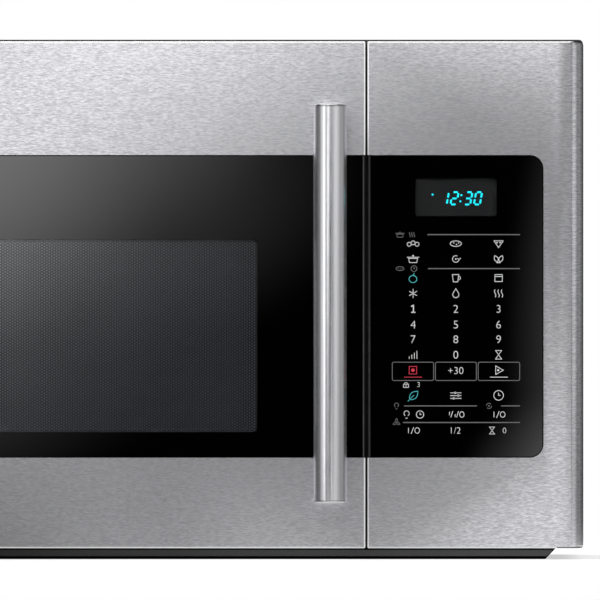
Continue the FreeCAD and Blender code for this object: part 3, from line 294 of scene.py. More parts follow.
# First and second colour, smooth and rough, and what isn't usual
ink = {"grain": 3000.0, "bump": 0.05}
mottled = {
    # Painted highlight: a near-white, barely metallic copy of the facing steel for its rounded edges
    "paintedEdgeHighlight": (0.92, 0.97, 0.3, 0.4, {"metallic": 0.1, "bump": 0.02}),
    "door_plastic": (0.005, 0.008, 0.5, 0.62, {"bump": 0.05}),
    "glassMask": (0.0004, 0.0008, 0.6, 0.7, {"bump": 0.02, "shine": 0.0}),
    "glassEdge": (0.036, 0.042, 0.2, 0.3, {"bump": 0.02}),
    "screen_paint": ((0.022, 0.023, 0.027), (0.028, 0.029, 0.034), 0.45, 0.55,
                     {"grain": 3000.0, "shine": 0.2}),
    "case_paint": ((0.03, 0.03, 0.031), (0.042, 0.042, 0.043), 0.42, 0.55, {"grain": 1500.0, "bump": 0.35}),
    "base_paint": (0.14, 0.165, 0.45, 0.6, {"grain": 1500.0, "bump": 0.3}),
    "cavity_enamel": ((0.56, 0.56, 0.54), (0.63, 0.63, 0.61), 0.28, 0.4, {"grain": 1800.0, "bump": 0.08}),
    "zinc_sheet": ((0.5, 0.51, 0.53), (0.68, 0.69, 0.7), 0.32, 0.5,
                   {"metallic": 0.9, "grain": 260.0, "cloud": 45.0, "bump": 0.05}),
    "darkZinc": (0.035, 0.055, 0.4, 0.55, {"metallic": 0.5, "grain": 300.0, "cloud": 40.0, "bump": 0.05}),
    "fastener_steel": (0.55, 0.68, 0.25, 0.38, {"metallic": 1.0}),
    "dark_plastic": (0.022, 0.032, 0.4, 0.55),
    "white_plastic": ((0.7, 0.69, 0.65), (0.78, 0.77, 0.73), 0.35, 0.5),
    "grille_plastic": (0.022, 0.032, 0.45, 0.6, {"bump": 0.25}),
    "carbon": (0.006, 0.04, 0.7, 0.9, {"grain": 420.0, "bump": 0.9, "depth": 0.6 * mm}),
    "filter_aluminium": (0.68, 0.8, 0.28, 0.42, {"metallic": 1.0, "grain": 700.0}),
    "motor_steel": (0.3, 0.38, 0.35, 0.5, {"metallic": 0.8}),
    "core_steel": (0.12, 0.2, 0.45, 0.65, {"metallic": 0.6}),
    "winding_copper": ((0.55, 0.2, 0.07), (0.7, 0.3, 0.12), 0.25, 0.4, {"metallic": 0.7}),
    "magnetron_metal": (0.6, 0.72, 0.3, 0.45, {"metallic": 1.0}),
    "capacitor_can": (0.66, 0.74, 0.25, 0.4, {"metallic": 1.0}),
    "board_green": ((0.02, 0.12, 0.05), (0.03, 0.18, 0.08), 0.3, 0.45),
    "mica": ((0.5, 0.46, 0.38), (0.66, 0.62, 0.54), 0.3, 0.5, {"grain": 300.0, "cloud": 60.0}),
    "spring_wire": (0.55, 0.66, 0.25, 0.35, {"metallic": 1.0}),
    "display_dark": (0.02, 0.024, 0.5, 0.6, {"bump": 0.03, "shine": 0.05}),
    "bush_plastic": ((0.58, 0.58, 0.55), (0.64, 0.64, 0.61), 0.35, 0.5),
    "cord_rubber": (0.02, 0.03, 0.55, 0.7),
    "legendsWhite": (0.62, 0.7, 0.45, 0.55, ink),
    "legendsGrey": (0.1, 0.13, 0.45, 0.55, ink),
    "legendsCyan": ((0.05, 0.42, 0.46), (0.07, 0.5, 0.52), 0.45, 0.55, ink),
    "legendsRed": ((0.55, 0.012, 0.04), (0.62, 0.02, 0.05), 0.45, 0.55, ink),
}
finishes = {slot: brushedFinish(slot, *given) for slot, given in brushed.items()}
finishes.update({slot: glassFinish(slot, *given) for slot, given in glasses.items()})
for slot, (first, second, smooth, rough, *unusual) in mottled.items():
    finishes[slot] = mottledFinish(slot, first, second, smooth, rough, **dict(*unusual))
finishes["displayGlow"] = newMaterial("displayGlow", **{
    "Base Color": (0.0, 0.3, 0.33, 1), "Emission Color": (0.0, 0.86, 1.0, 1), "Emission Strength": 1.35})[0]
slotOf = {part["node"]: part["material_slot"] for part in frame["record"]["subparts"]}
for name, node in cadNodes.items():
    node.material_slots[0].material = finishes[slotOf[name]]
print("finishes made,", len(finishes))


# Mesh helpers

def newPiece(name, shape, finish):
    mesh = bpy.data.meshes.new(name)
    shape.to_mesh(mesh)
    shape.free()
    mesh.materials.append(finishes[finish])
    piece = bpy.data.objects.new(name, mesh)
    scene.collection.objects.link(piece)
    return piece


def settled(piece):
    # The modifiers' result as a plain mesh
    graph = bpy.context.evaluated_depsgraph_get()
    mesh = bpy.data.meshes.new_from_object(piece.evaluated_get(graph), preserve_all_data_layers=True,
                                           depsgraph=graph)
    piece.modifiers.clear()
    piece.data = mesh
    return piece


def modify(piece, kind, **settings):
    modifier = piece.modifiers.new(kind.lower(), kind)
    for name, value in settings.items():
        setattr(modifier, name, value)


def fitted(piece, body, slot, *replaced):
    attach(piece, body)
    if replaced:
        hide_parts(*replaced)
    return piece


def smoothed(piece, angle=35):
    piece.data.shade_smooth()
    piece.data.set_sharp_from_angle(angle=math.radians(angle))
    return piece


def softEdges(piece, width, segments=3, angle=50):
    for polygon in piece.data.polygons:
        polygon.use_smooth = True
    modify(piece, "BEVEL", width=width, segments=segments, limit_method="ANGLE",
           angle_limit=math.radians(angle), use_clamp_overlap=True)
    modify(piece, "WEIGHTED_NORMAL", weight=90)
    return settled(piece)


def thickened(piece, thickness, offset=0):
    modify(piece, "SOLIDIFY", thickness=thickness, offset=offset)
    return settled(piece)


def cutAway(piece, cutters):
    for cutter in cutters:
        modify(piece, "BOOLEAN", operation="DIFFERENCE", solver="EXACT", object=cutter)
    settled(piece)
    for cutter in cutters:
        bpy.data.objects.remove(cutter)
    return piece


def sliced(piece, cuts):
    # Splits the faces that planes cross, and moves nothing
    shape = bmesh.new()
    shape.from_mesh(piece.data)
    for point, normal in cuts:
        everything = shape.verts[:] + shape.edges[:] + shape.faces[:]
        bmesh.ops.bisect_plane(shape, geom=everything, plane_co=point, plane_no=normal)
    shape.to_mesh(piece.data)
    shape.free()
    return piece


def secondFinish(piece, finish, chosen):
    # Gives the faces chosen by centre and normal a finish of their own
    piece.data.materials.append(finishes[finish])
    for polygon in piece.data.polygons:
        if chosen(polygon.center, polygon.normal):
            polygon.material_index = len(piece.data.materials) - 1


def joinedPiece(name, pieces, finish):
    shape = bmesh.new()
    for piece in pieces:
        shape.from_mesh(piece.data)
        bpy.data.objects.remove(piece)
    return newPiece(name, shape, finish)


def loft(rings, caps=(True, True)):
    shape = bmesh.new()
    made = [[shape.verts.new(point) for point in ring] for ring in rings]
    for first, second in zip(made, made[1:]):
        for number in range(len(first)):
            after = (number + 1) % len(first)
            shape.faces.new((first[number], first[after], second[after], second[number]))
    if caps[0]:
        shape.faces.new(made[0][::-1])
    if caps[1]:
        shape.faces.new(made[-1])
    return shape


def loftPiece(name, rings, finish, caps=(True, True), near=0.0):
    shape = loft(rings, caps)
    if near:
        bmesh.ops.remove_doubles(shape, verts=shape.verts, dist=near)
    bmesh.ops.recalc_face_normals(shape, faces=shape.faces)
    return newPiece(name, shape, finish)


def arcPoints(x, z, radius, start, end, steps=14):
    angles = [math.radians(start + (end - start) * step / steps) for step in range(steps + 1)]
    return [(x + radius * math.cos(angle), z + radius * math.sin(angle)) for angle in angles]


def ovalPoints(x, z, wide, tall, steps=20):
    angles = [2 * math.pi * step / steps for step in range(steps)]
    return [(x + wide * math.cos(angle), z + tall * math.sin(angle)) for angle in angles]


def outline(x0, x1, z0, z1, radii, steps=8):
    # Rounded rectangle seen from the front: corners low-low, high-low, high-high, low-high
    points = []
    centres = ((x0, z0, 1, 1), (x1, z0, -1, 1), (x1, z1, -1, -1), (x0, z1, 1, -1))
    for corner, (x, z, across, up) in enumerate(centres):
        radius = max(radii[corner], tiny)
        start = 180 + 90 * corner
        points += arcPoints(x + across * radius, z + up * radius, radius, start, start + 90, steps)
    return points


def insetOutline(limits, inset, radii, least=tiny, steps=8):
    x0, x1, z0, z1 = limits
    radii = [max(radius - inset, least) for radius in radii]
    return outline(x0 + inset, x1 - inset, z0 + inset, z1 - inset, radii, steps)


def limitsOf(node):
    low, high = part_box(node)
    return low.x, high.x, low.z, high.z


def ringAt(points, y):
    return [Vector((x, y, z)) for x, z in points][::-1]


def platePiece(name, limits, radii, y0, y1, rim, finish):
    # A flat plate with rounded corners and a rounded front rim
    rings = [ringAt(insetOutline(limits, rim - forward, radii), y0 + rim - deep)
             for forward, deep in arcPoints(0, 0, rim, 90, 0, 4)]
    rings.append(ringAt(outline(*limits, radii), y1))
    return softEdges(loftPiece(name, rings, finish), hair, 1, 80)


def stood(centre, axis):
    turn = Vector((0, 0, 1)).rotation_difference(Vector(axis)).to_matrix().to_4x4()
    return Matrix.Translation(centre) @ turn


def lathePiece(name, profile, centre, finish, segments=96, axis=(0, 0, 1)):
    # Turns a profile of (radius, height) pairs round an axis through the centre
    ends = [profile[end][0] < tiny for end in (0, -1)]
    rings = []
    for radius, height in profile:
        radius = max(radius, tiny)
        rings.append([Vector((x, y, height)) for x, y in ovalPoints(0, 0, radius, radius, segments)])
    if not any(ends):
        rings.append(rings[0])
    piece = loftPiece(name, rings, finish, ends, weld / 2)
    piece.data.transform(stood(centre, axis))
    return piece


def rodCutter(centre, axis, radius, length):
    shape = bmesh.new()
    bmesh.ops.create_cone(shape, cap_ends=True, segments=48, radius1=radius, radius2=radius, depth=length)
    shape.transform(stood(centre, axis))
    return newPiece("cutter", shape, "dark_plastic")


def prismCutter(points, y0, y1):
    return loftPiece("cutter", [ringAt(points, y) for y in (y0, y1)], "dark_plastic")


# Places that several pieces share
doorLow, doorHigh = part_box("door_skin")
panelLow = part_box("control_panel_skin")[0]
doorGlassLow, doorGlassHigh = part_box("door_glass")
panelGlassLow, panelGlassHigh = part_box("control_panel_glass")
glassFit = 0.4 * mm
bandZ = (doorGlassLow.z - glassFit, doorGlassHigh.z + glassFit)
bandX = (doorGlassLow.x - glassFit, panelGlassHigh.x + glassFit)
face = doorLow.y

# Pressed steel facings
facing = {
    "skin": 1.2 * mm, "sideBend": 11.0 * mm, "edgeRound": 1.4 * mm, "topCorner": 3.5 * mm,
    "bottomCorner": 2.5 * mm, "seamCorner": 1.2 * mm, "bandCorner": 11.4 * mm, "hem": 0.5 * mm,
    "bendSteps": 10, "past": 3 * mm, "least": 0.3 * mm, "bushFit": 0.3 * mm,
    "bushDepth": 6 * mm, "cut": (5 * mm, 60 * mm),
    "turned": 0.985,         # faces that look forward less than this are edges
    "highlightDepth": 2.2 * mm,   # how far back the painted highlight reaches
    "shadedBottom": 557.0,    # photograph column from which the bottom edge isn't bright
}


def facingForm(name, limits, bends, corners, inset, rear):
    x0, x1, z0, z1 = limits
    x0, x1, z0, z1 = x0 + inset, x1 - inset, z0 + inset, z1 - inset
    radii = [max(radius - inset, facing["least"]) for radius in (*bends, facing["edgeRound"])]
    depths = {0.0}
    for radius in radii:
        for step in range(1, facing["bendSteps"] + 1):
            depths.add(round(radius * (1 - math.cos(math.radians(90 * step / facing["bendSteps"]))), 7))
    rings = []
    for depth in sorted(depths):
        left, right, edge = [radius - math.sqrt(max(radius ** 2 - max(radius - depth, 0) ** 2, 0))
                             for radius in radii]
        view = [max(radius - inset - edge, tiny) for radius in corners]
        rings.append(ringAt(outline(x0 + left, x1 - right, z0 + edge, z1 - edge, view), face + inset + depth))
    rings.append([Vector((point.x, rear, point.z)) for point in rings[-1]])
    return loftPiece(name, rings, "brushed_facing")


def facingPiece(name, body, node, bends, corners, bandLimits, bandRadii, holes):
    low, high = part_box(node)
    limits = limitsOf(node)
    piece = facingForm(name, limits, bends, corners, 0, high.y)
    hollow = facingForm("cutter", limits, bends, corners, facing["skin"], high.y + facing["past"])
    before, behind = facing["cut"]
    band = prismCutter(outline(*bandLimits, *bandZ, bandRadii, 14), face - before, face + behind)
    cutAway(piece, [hollow, band, *holes])
    softEdges(piece, facing["hem"], 3, 55)
    shadeFrom = photoX(facing["shadedBottom"])
    sliced(piece, [((shadeFrom, 0, 0), (1, 0, 0))])
    flatFrom, flatTo = low.x, high.x
    if bends[0] < bends[1]:
        flatTo += facing["least"] - bends[1]
    else:
        flatFrom += bends[0] - facing["least"]

    def edgeWithin(centre, normal, depth):
        return abs(normal.y) < facing["turned"] and centre.y < face + depth

    # Past that column the bottom edge gets dark steel in place of the highlight: painted shade
    def plainEdge(centre, normal):
        beside = centre.z < low.z + facing["edgeRound"] and centre.x > shadeFrom
        return beside and edgeWithin(centre, normal, facing["sideBend"])

    # Rounded edges of the flat front, which get the painted highlight line
    def polishedEdge(centre, normal):
        beside = flatFrom < centre.x < flatTo and not plainEdge(centre, normal)
        return beside and edgeWithin(centre, normal, facing["highlightDepth"])

    # Painted highlight on the rounded front edges
    secondFinish(piece, "paintedEdgeHighlight", polishedEdge)
    # Painted shade: dark core steel on the bottom edge past that column
    secondFinish(piece, "core_steel", plainEdge)
    fitted(piece, body, "brushed_facing", node)


def facings():
    side, edge, seam, band = [facing[name] for name in ("sideBend", "edgeRound", "seamCorner", "bandCorner")]
    low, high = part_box("hinge_bushes")
    reach = (high.x - low.x) / 2 + facing["bushFit"]
    holes = [rodCutter(((low.x + high.x) / 2, (low.y + high.y) / 2, z), (0, 0, 1), reach, facing["bushDepth"])
             for z in (doorLow.z, doorHigh.z)]
    facingPiece("doorFacing", "door", "door_skin", (side, edge),
                (facing["bottomCorner"], seam, seam, facing["topCorner"]),
                (bandX[0], doorHigh.x + facing["past"]), (band, 0, 0, band), holes)
    facingPiece("panelFacing", "cabinet", "control_panel_skin", (edge, side),
                (seam, facing["bottomCorner"], facing["topCorner"], seam),
                (panelLow.x - facing["past"], bandX[1]), (0, band, band, 0), [])


facings()
print("facings made")

# Glass band
bandGlass = {
    "corner": 11.0 * mm, "seamCorner": 0.4 * mm, "rim": 0.5 * mm,
    "doorBevel": 1.15 * mm, "panelBevel": 1.55 * mm, "bevelDepth": 0.55 * mm,
    "window": (-279.9 * mm, 109.9 * mm, 105.5 * mm, 264.0 * mm), "windowCorner": 4.0 * mm,
    "displayCorner": 2.6 * mm, "maskInset": 0.3 * mm, "maskGap": 0.03 * mm, "maskCorner": 0.2 * mm,
    "turned": 0.99,          # faces that look forward or back less than this are edges
    "seamTurn": 0.2,         # faces that look towards the seam more than this are its bevel
}


def bevelledGlass(name, node, body, radii, clear, left, right):
    # A pane whose seam side has a wide polished bevel, see-through over its opening only
    low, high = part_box(node)
    rim = bandGlass["rim"]
    inner = [max(radius - rim, tiny) for radius in radii]
    whole = outline(*limitsOf(node), radii, 12)
    piece = loftPiece(name, [
        ringAt(outline(low.x + left, high.x - right, low.z + rim, high.z - rim, inner, 12), low.y),
        ringAt(whole, low.y + bandGlass["bevelDepth"]), ringAt(whole, high.y)], "band_glass")
    x0, x1, z0, z1 = clear[0] - rim, clear[1] + rim, clear[2] - rim, clear[3] + rim
    sliced(piece, [((x, 0, 0), (1, 0, 0)) for x in (x0, x1)] + [((0, 0, z), (0, 0, 1)) for z in (z0, z1)])
    softEdges(piece, hair, 1, 15)
    seamWay = 1 if right > left else -1
    turned, seamTurn = bandGlass["turned"], bandGlass["seamTurn"]

    def overPrint(centre, normal):
        return normal.y < -turned and not (x0 < centre.x < x1 and z0 < centre.z < z1)

    secondFinish(piece, "blackGlass", overPrint)
    secondFinish(piece, "glassMask", lambda centre, normal: abs(normal.y) < turned)
    secondFinish(piece, "glassEdge", lambda centre, normal: normal.x * seamWay > seamTurn)
    fitted(piece, body, "band_glass", node)


def openPlate(name, outer, inner, y0, y1, finish):
    # A flat plate with one opening; both outlines have as many points
    rings = [ringAt(points, y)[::-1] for points, y in
             ((outer, y0), (inner, y0), (inner, y1), (outer, y1), (outer, y0))]
    return loftPiece(name, rings, finish, (False, False), weld)


def glassMask(name, node, body, radii, opening, corner):
    # The black print in the back of the glass, open at the window or the display
    inset, gap = bandGlass["maskInset"], bandGlass["maskGap"]
    y0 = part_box(node)[1].y - 2 * gap
    outer = insetOutline(limitsOf(node), inset, radii, bandGlass["maskCorner"])
    mask = openPlate(name, outer, outline(*opening, [corner] * 4), y0, y0 + gap, "glassMask")
    fitted(mask, body, "door_plastic")


def glassBand():
    corner, plain, rim = bandGlass["corner"], bandGlass["seamCorner"], bandGlass["rim"]
    panes = (
        ("doorGlass", "door_glass", "door", (corner, plain, plain, corner), bandGlass["window"],
         bandGlass["windowCorner"], (rim, bandGlass["doorBevel"])),
        ("panelGlass", "control_panel_glass", "cabinet", (plain, corner, corner, plain),
         limitsOf("display_module"), bandGlass["displayCorner"], (bandGlass["panelBevel"], rim)))
    for *pane, openCorner, bevels in panes:
        bevelledGlass(*pane, *bevels)
    for name, *pane, openCorner, bevels in panes:
        glassMask(name + "Mask", *pane, openCorner)


glassBand()
print("glass band made")


# Repeated cells and fasteners are set out by nodes

def instanced(tree, points, cell):
    shown = addNode(tree, "GeometryNodeObjectInfo", None, Object=cell)
    return addNode(tree, "GeometryNodeInstanceOnPoints", None, Points=points,
                   Instance=shown.outputs["Geometry"]).outputs[0]


def realised(tree, instances, finish):
    real = addNode(tree, "GeometryNodeRealizeInstances", None, Geometry=instances)
    return addNode(tree, "GeometryNodeSetMaterial", None, Geometry=real.outputs[0],
                   Material=finish).outputs[0]


def latticeTree(name):
    # Lays a cell on every point of a staggered lattice
    tree, given, made = newGroup(name, "GeometryNodeTree", {
        "Columns": "Int", "Rows": "Int", "Column Step": "Float", "Row Step": "Float", "Middle": "Vector",
        "Turn": "Vector", "Cell": "Object", "Finish": "Material"}, {"Sheet": "Geometry"})
    wide, tall = [times(minus(given[count], 1.0), given[step])
                  for count, step in (("Columns", "Column Step"), ("Rows", "Row Step"))]
    grid = addNode(tree, "GeometryNodeMeshGrid", None, **{
        "Size X": wide, "Size Y": tall, "Vertices X": given["Columns"], "Vertices Y": given["Rows"]})
    index = addNode(tree, "GeometryNodeInputIndex").outputs[0]
    column = mathOf("FLOOR", mathOf("DIVIDE", index, given["Rows"]))
    odd = mathOf("MODULO", column, 2.0)
    shift = times(minus(odd, 0.5), times(given["Row Step"], 0.5))
    offset = addNode(tree, "ShaderNodeCombineXYZ", None, Y=shift)
    moved = addNode(tree, "GeometryNodeSetPosition", None, Geometry=grid.outputs[0], Offset=offset.outputs[0])
    placed = addNode(tree, "GeometryNodeTransform", None, Translation=given["Middle"], Rotation=given["Turn"],
                     Geometry=instanced(tree, moved.outputs[0], given["Cell"]))
    put(made["Sheet"], realised(tree, placed.outputs[0], given["Finish"]))
    return tree


def pointTree(name):
    tree, given, made = newGroup(name, "GeometryNodeTree", {
        "Places": "Geometry", "Fastener": "Object", "Finish": "Material"}, {"Set": "Geometry"})
    put(made["Set"], realised(tree, instanced(tree, given["Places"], given["Fastener"]), given["Finish"]))
    return tree


def grown(name, tree, values, finish, places=None):
    # A plain mesh from a node tree, with its inputs given by name
    piece = newPiece(name, places or bmesh.new(), finish)
    grower = piece.modifiers.new("grow", "NODES")
    grower.node_group = tree
    values["Finish"] = finishes[finish]
    for item in tree.interface.items_tree:
        if item.in_out == "INPUT" and item.name in values:
            grower[item.identifier] = values[item.name]
    return settled(piece)


lattice = latticeTree("staggered cells")
upright = (math.pi / 2, 0.0, 0.0)


def latticeSheet(name, rings, finish, counts, steps, middle, turn):
    # A sheet of flat cells, each the strip between two rings
    cell = newPiece("cell", loft(rings, (False, False)), finish)
    sheet = grown(name, lattice, {
        "Columns": counts[0], "Rows": counts[1], "Column Step": steps[0], "Row Step": steps[1],
        "Middle": middle, "Turn": turn, "Cell": cell}, finish)
    bpy.data.objects.remove(cell)
    return sheet


def hexSheet(name, finish, sheet, size, more, middle, turn):
    # A sheet with a hole in every cell, in staggered columns
    pitch = sheet["pitch"]
    step = pitch * math.sqrt(3) / 2
    rings = [[(x, y, 0) for x, y in ovalPoints(0, 0, radius, radius, 6)]
             for radius in (pitch / math.sqrt(3), sheet["hole"])]
    counts = (int(size[0] / step) + more, int(size[1] / pitch) + more)
    return latticeSheet(name, rings, finish, counts, (step, pitch), middle, turn)


# Perforated door screen
screenSheet = {
    "pitch": 2.33 * mm,      # down a column of holes
    "hole": 0.78 * mm,       # hole radius
    "setBack": 0.15 * mm,    # behind the glass and its print
    "corner": 11.7 * mm, "overlap": 0.7, "rimRound": 0.1 * mm, "cut": 5 * mm,
}


def doorScreen():
    low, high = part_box("door_screen")
    x0, x1, z0, z1 = bandGlass["window"]
    level = low.y + screenSheet["setBack"]
    field = hexSheet("field", "screen_paint", screenSheet, (x1 - x0, z1 - z0), 1,
                     ((x0 + x1) / 2, level, (z0 + z1) / 2), upright)
    inset = screenSheet["pitch"] * screenSheet["overlap"]
    inner = insetOutline(bandGlass["window"], inset, [tiny] * 4, tiny, 1)
    rim = platePiece("rim", limitsOf("door_screen"), [screenSheet["corner"]] * 4, level + hair, high.y,
                     screenSheet["rimRound"], "screen_paint")
    cutAway(rim, [prismCutter(inner, low.y - screenSheet["cut"], high.y + screenSheet["cut"])])
    fitted(joinedPiece("doorScreen", [field, rim], "screen_paint"), "door", "screen_paint", "door_screen")


doorScreen()
print("door screen made")

# Tube handle
handle = {
    "wall": 1.8 * mm, "groove": 0.7 * mm, "edge": 0.1 * mm, "fit": 0.05 * mm,
    "capRound": 1.1 * mm, "crown": 1.5 * mm, "capHeight": 3.0 * mm, "capPlug": 8 * mm,
    "postEdge": 0.4 * mm, "postNeck": 0.5 * mm, "postFoot": 1.2 * mm, "bore": (6 * mm, 16 * mm),
}


def handleCap(z, way, lip, radius, centre):
    tall, turn, crown = handle["capHeight"], handle["capRound"], handle["crown"]
    flat, plug, end = radius - turn, radius - handle["wall"] - handle["fit"], tall + handle["capPlug"]
    profile = [(0, z)]
    profile += [(flat * step / 5, z + way * crown * (step / 5) ** 2) for step in range(1, 6)]
    profile += arcPoints(flat, z + way * (crown + turn), turn, -90 * way, 0, 8)[1:]
    profile += [(reach, z + way * height) for reach, height in (
        (radius, tall - lip), (radius - lip, tall), (plug, tall), (plug, end), (0, end))]
    return lathePiece("cap", profile, centre, "cap_steel")


def handlePieces():
    low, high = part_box("handle_tube")
    centre = Vector(((low.x + high.x) / 2, (low.y + high.y) / 2, 0))
    radius = (high.x - low.x) / 2
    wall, groove, edge = handle["wall"], handle["groove"], handle["edge"]
    profile = [(radius - wall, low.z), (radius - groove, low.z), (radius, low.z + groove),
               (radius, high.z - edge), (radius - edge, high.z), (radius - wall, high.z)]
    tube = lathePiece("handleTube", profile, centre, "handle_steel")
    postLow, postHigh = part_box("handle_posts")
    thick = (postHigh.x - postLow.x) / 2
    heights = (postLow.z + thick, postHigh.z - thick)
    middle, length = handle["bore"]
    cutAway(tube, [rodCutter((centre.x, postLow.y + middle, z), (0, 1, 0), thick + handle["fit"], length)
                   for z in heights])
    fitted(smoothed(tube), "door", "handle_steel", "handle_tube")
    capLow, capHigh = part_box("handle_end_caps")
    caps = [handleCap(capLow.z, 1, edge, radius, centre), handleCap(capHigh.z, -1, groove, radius, centre)]
    piece = smoothed(joinedPiece("handleEndCaps", caps, "cap_steel"))
    fitted(piece, "door", "cap_steel", "handle_end_caps")
    length = postHigh.y - postLow.y
    tip, neck = handle["postEdge"], handle["postNeck"]
    profile = [(0, 0), (thick - tip, 0), (thick, tip), (thick, length - handle["postFoot"]),
               (thick - neck, length - neck), (thick - neck, length), (0, length)]
    posts = [lathePiece("post", profile, (centre.x, postLow.y, z), "handle_steel", 48, (0, 1, 0))
             for z in heights]
    piece = smoothed(joinedPiece("handlePosts", posts, "handle_steel"))
    fitted(piece, "door", "handle_steel", "handle_posts")


handlePieces()
print("handle made")


# Flat print

def ribbon(shape, points, width, y, closed=False):
    # A flat stroke that faces the front, with mitred joints
    points = [Vector(point) for point in points]
    count = len(points)
    sides = []
    for number, point in enumerate(points):
        before = points[number - 1] if number or closed else point
        after = points[(number + 1) % count] if number < count - 1 or closed else point
        into, out = (point - before), (after - point)
        into = into.normalized() if into.length > 0 else out.normalized()
        out = out.normalized() if out.length > 0 else into
        along = (into + out).normalized() if (into + out).length > 0.01 else out
        across = Vector((-along.y, along.x))
        reach = width / 2 / max(abs(across.dot(Vector((-into.y, into.x)))), 0.5)
        sides.append([shape.verts.new((point.x + way * reach * across.x, y, point.y + way * reach * across.y))
                      for way in (-1, 1)])
    for number in range(count if closed else count - 1):
        first, second = sides[number], sides[(number + 1) % count]
        shape.faces.new((first[0], second[0], second[1], first[1]))


def disc(shape, x, z, radius, y):
    shape.faces.new([shape.verts.new((px, y, pz)) for px, pz in ovalPoints(x, z, radius, radius)])


def printed(name, shape, thickness, finish):
    # Gives flat print its thickness, towards what it is printed on
    bmesh.ops.remove_doubles(shape, verts=shape.verts, dist=weld / 4)
    return thickened(newPiece(name, shape, finish), thickness, -1)


# Display behind the panel glass: digits in photograph pixels, with their lit bars
display = {
    "rim": 0.5 * mm,
    "setBack": 0.3 * mm,     # face behind the glass
    "lift": 0.1 * mm, "coat": 0.08 * mm,
    "slant": 0.187, "barWidth": 1.45 * mm, "barGap": 0.785 * mm,
    "digitWidth": 6.0,       # between bar middles
    "digitRows": (192.2, 198.4, 204.4),
    "digits": ((440.7, "bc"), (450.4, "abged"), (464.2, "abgcd"), (473.9, "abcdef")),
    "dots": ((461.4, 195.2), (460.4, 201.3), (432.6, 194.6)), "dotRadius": 0.8 * mm,
}


def displayUnit():
    low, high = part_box("display_module")
    front = low.y + display["setBack"]
    unit = platePiece("displayUnit", limitsOf("display_module"), [bandGlass["displayCorner"]] * 4, front,
                      high.y, display["rim"], "display_dark")
    fitted(unit, "cabinet", "display_dark", "display_module")
    shape = bmesh.new()
    y = front - display["lift"]
    top, middle, bottom = [photoZ(row) for row in display["digitRows"]]
    wide, gap = display["digitWidth"] * photo["scale"], display["barGap"]
    bars = {letter: ((gap, z), (wide - gap, z)) for letter, z in (("a", top), ("g", middle), ("d", bottom))}
    for letter, x, low, high in (("b", wide, middle, top), ("c", wide, bottom, middle), ("f", 0, middle, top),
                                 ("e", 0, bottom, middle)):
        bars[letter] = ((x, low + gap), (x, high - gap))
    for column, lit in display["digits"]:
        for bar in lit:
            ribbon(shape, [(photoX(column) + x + (z - bottom) * display["slant"], z) for x, z in bars[bar]],
                   display["barWidth"], y)
    for column, row in display["dots"]:
        disc(shape, photoX(column), photoZ(row), display["dotRadius"], y)
    fitted(printed("displayDigits", shape, display["coat"], "displayGlow"), "cabinet", "display_dark")


displayUnit()
print("display made")

# Key legends printed on the panel glass: places in photograph pixels, strokes in shares of a mark's height
legends = {
    "stroke": 0.52 * mm, "oneStroke": 0.85 * mm, "keyStroke": 0.62 * mm, "ruleStroke": 0.85 * mm,
    "markHeight": 6.4 * mm, "numberHeight": 7.8, "keyCorner": 1.3 * mm, "lift": 0.03 * mm,
    "coat": 0.024 * mm, "numberOffset": -0.012,
    "columns": (413.1, 455.8, 498.6), "numberRows": (308.9, 324.6, 339.3),
    "otherNumbers": (("0", 455.8, 354.8, 7.8), ("+30", 455.8, 370.6, 7.0), ("3", 418.5, 384.6, 5.0),
                     ("1/2", 455.8, 430.5, 6.4), ("0", 504.5, 430.5, 5.6)),
    "keyRows": (362.2, 380.5), "keyColumns": ((392.3, 433.6), (435.4, 476.4), (478.2, 519.7)),
    "rules": ((427.5, 520, 234.6), (428, 520, 268.6), (404, 477, 405.9), (501, 520, 405.9),
              (403, 520, 422.5)),
}


def leafPoints(x, z, size, lean):
    side = [(math.sin(math.pi * step / 8) * 0.28, step / 8 - 0.5) for step in range(9)]
    turn = math.radians(lean)
    return [(x + size * (px * math.cos(turn) - pz * math.sin(turn)),
             z + size * (px * math.sin(turn) + pz * math.cos(turn)))
            for px, pz in side + [(-px, pz) for px, pz in side[7:0:-1]]]


def wavePoints(x):
    return [(x + 0.09 * math.sin(2 * math.pi * step / 10), 0.9 * (step / 10 - 0.5)) for step in range(11)]


def square(x0, z0, x1, z1):
    return [(x0, z0), (x1, z0), (x1, z1), (x0, z1)]


underline = [(-1.0, -0.78), (1.0, -0.78)]
spokes = [(math.cos(turn), math.sin(turn)) for turn in (math.pi / 6, math.pi / 2, math.pi * 5 / 6)]
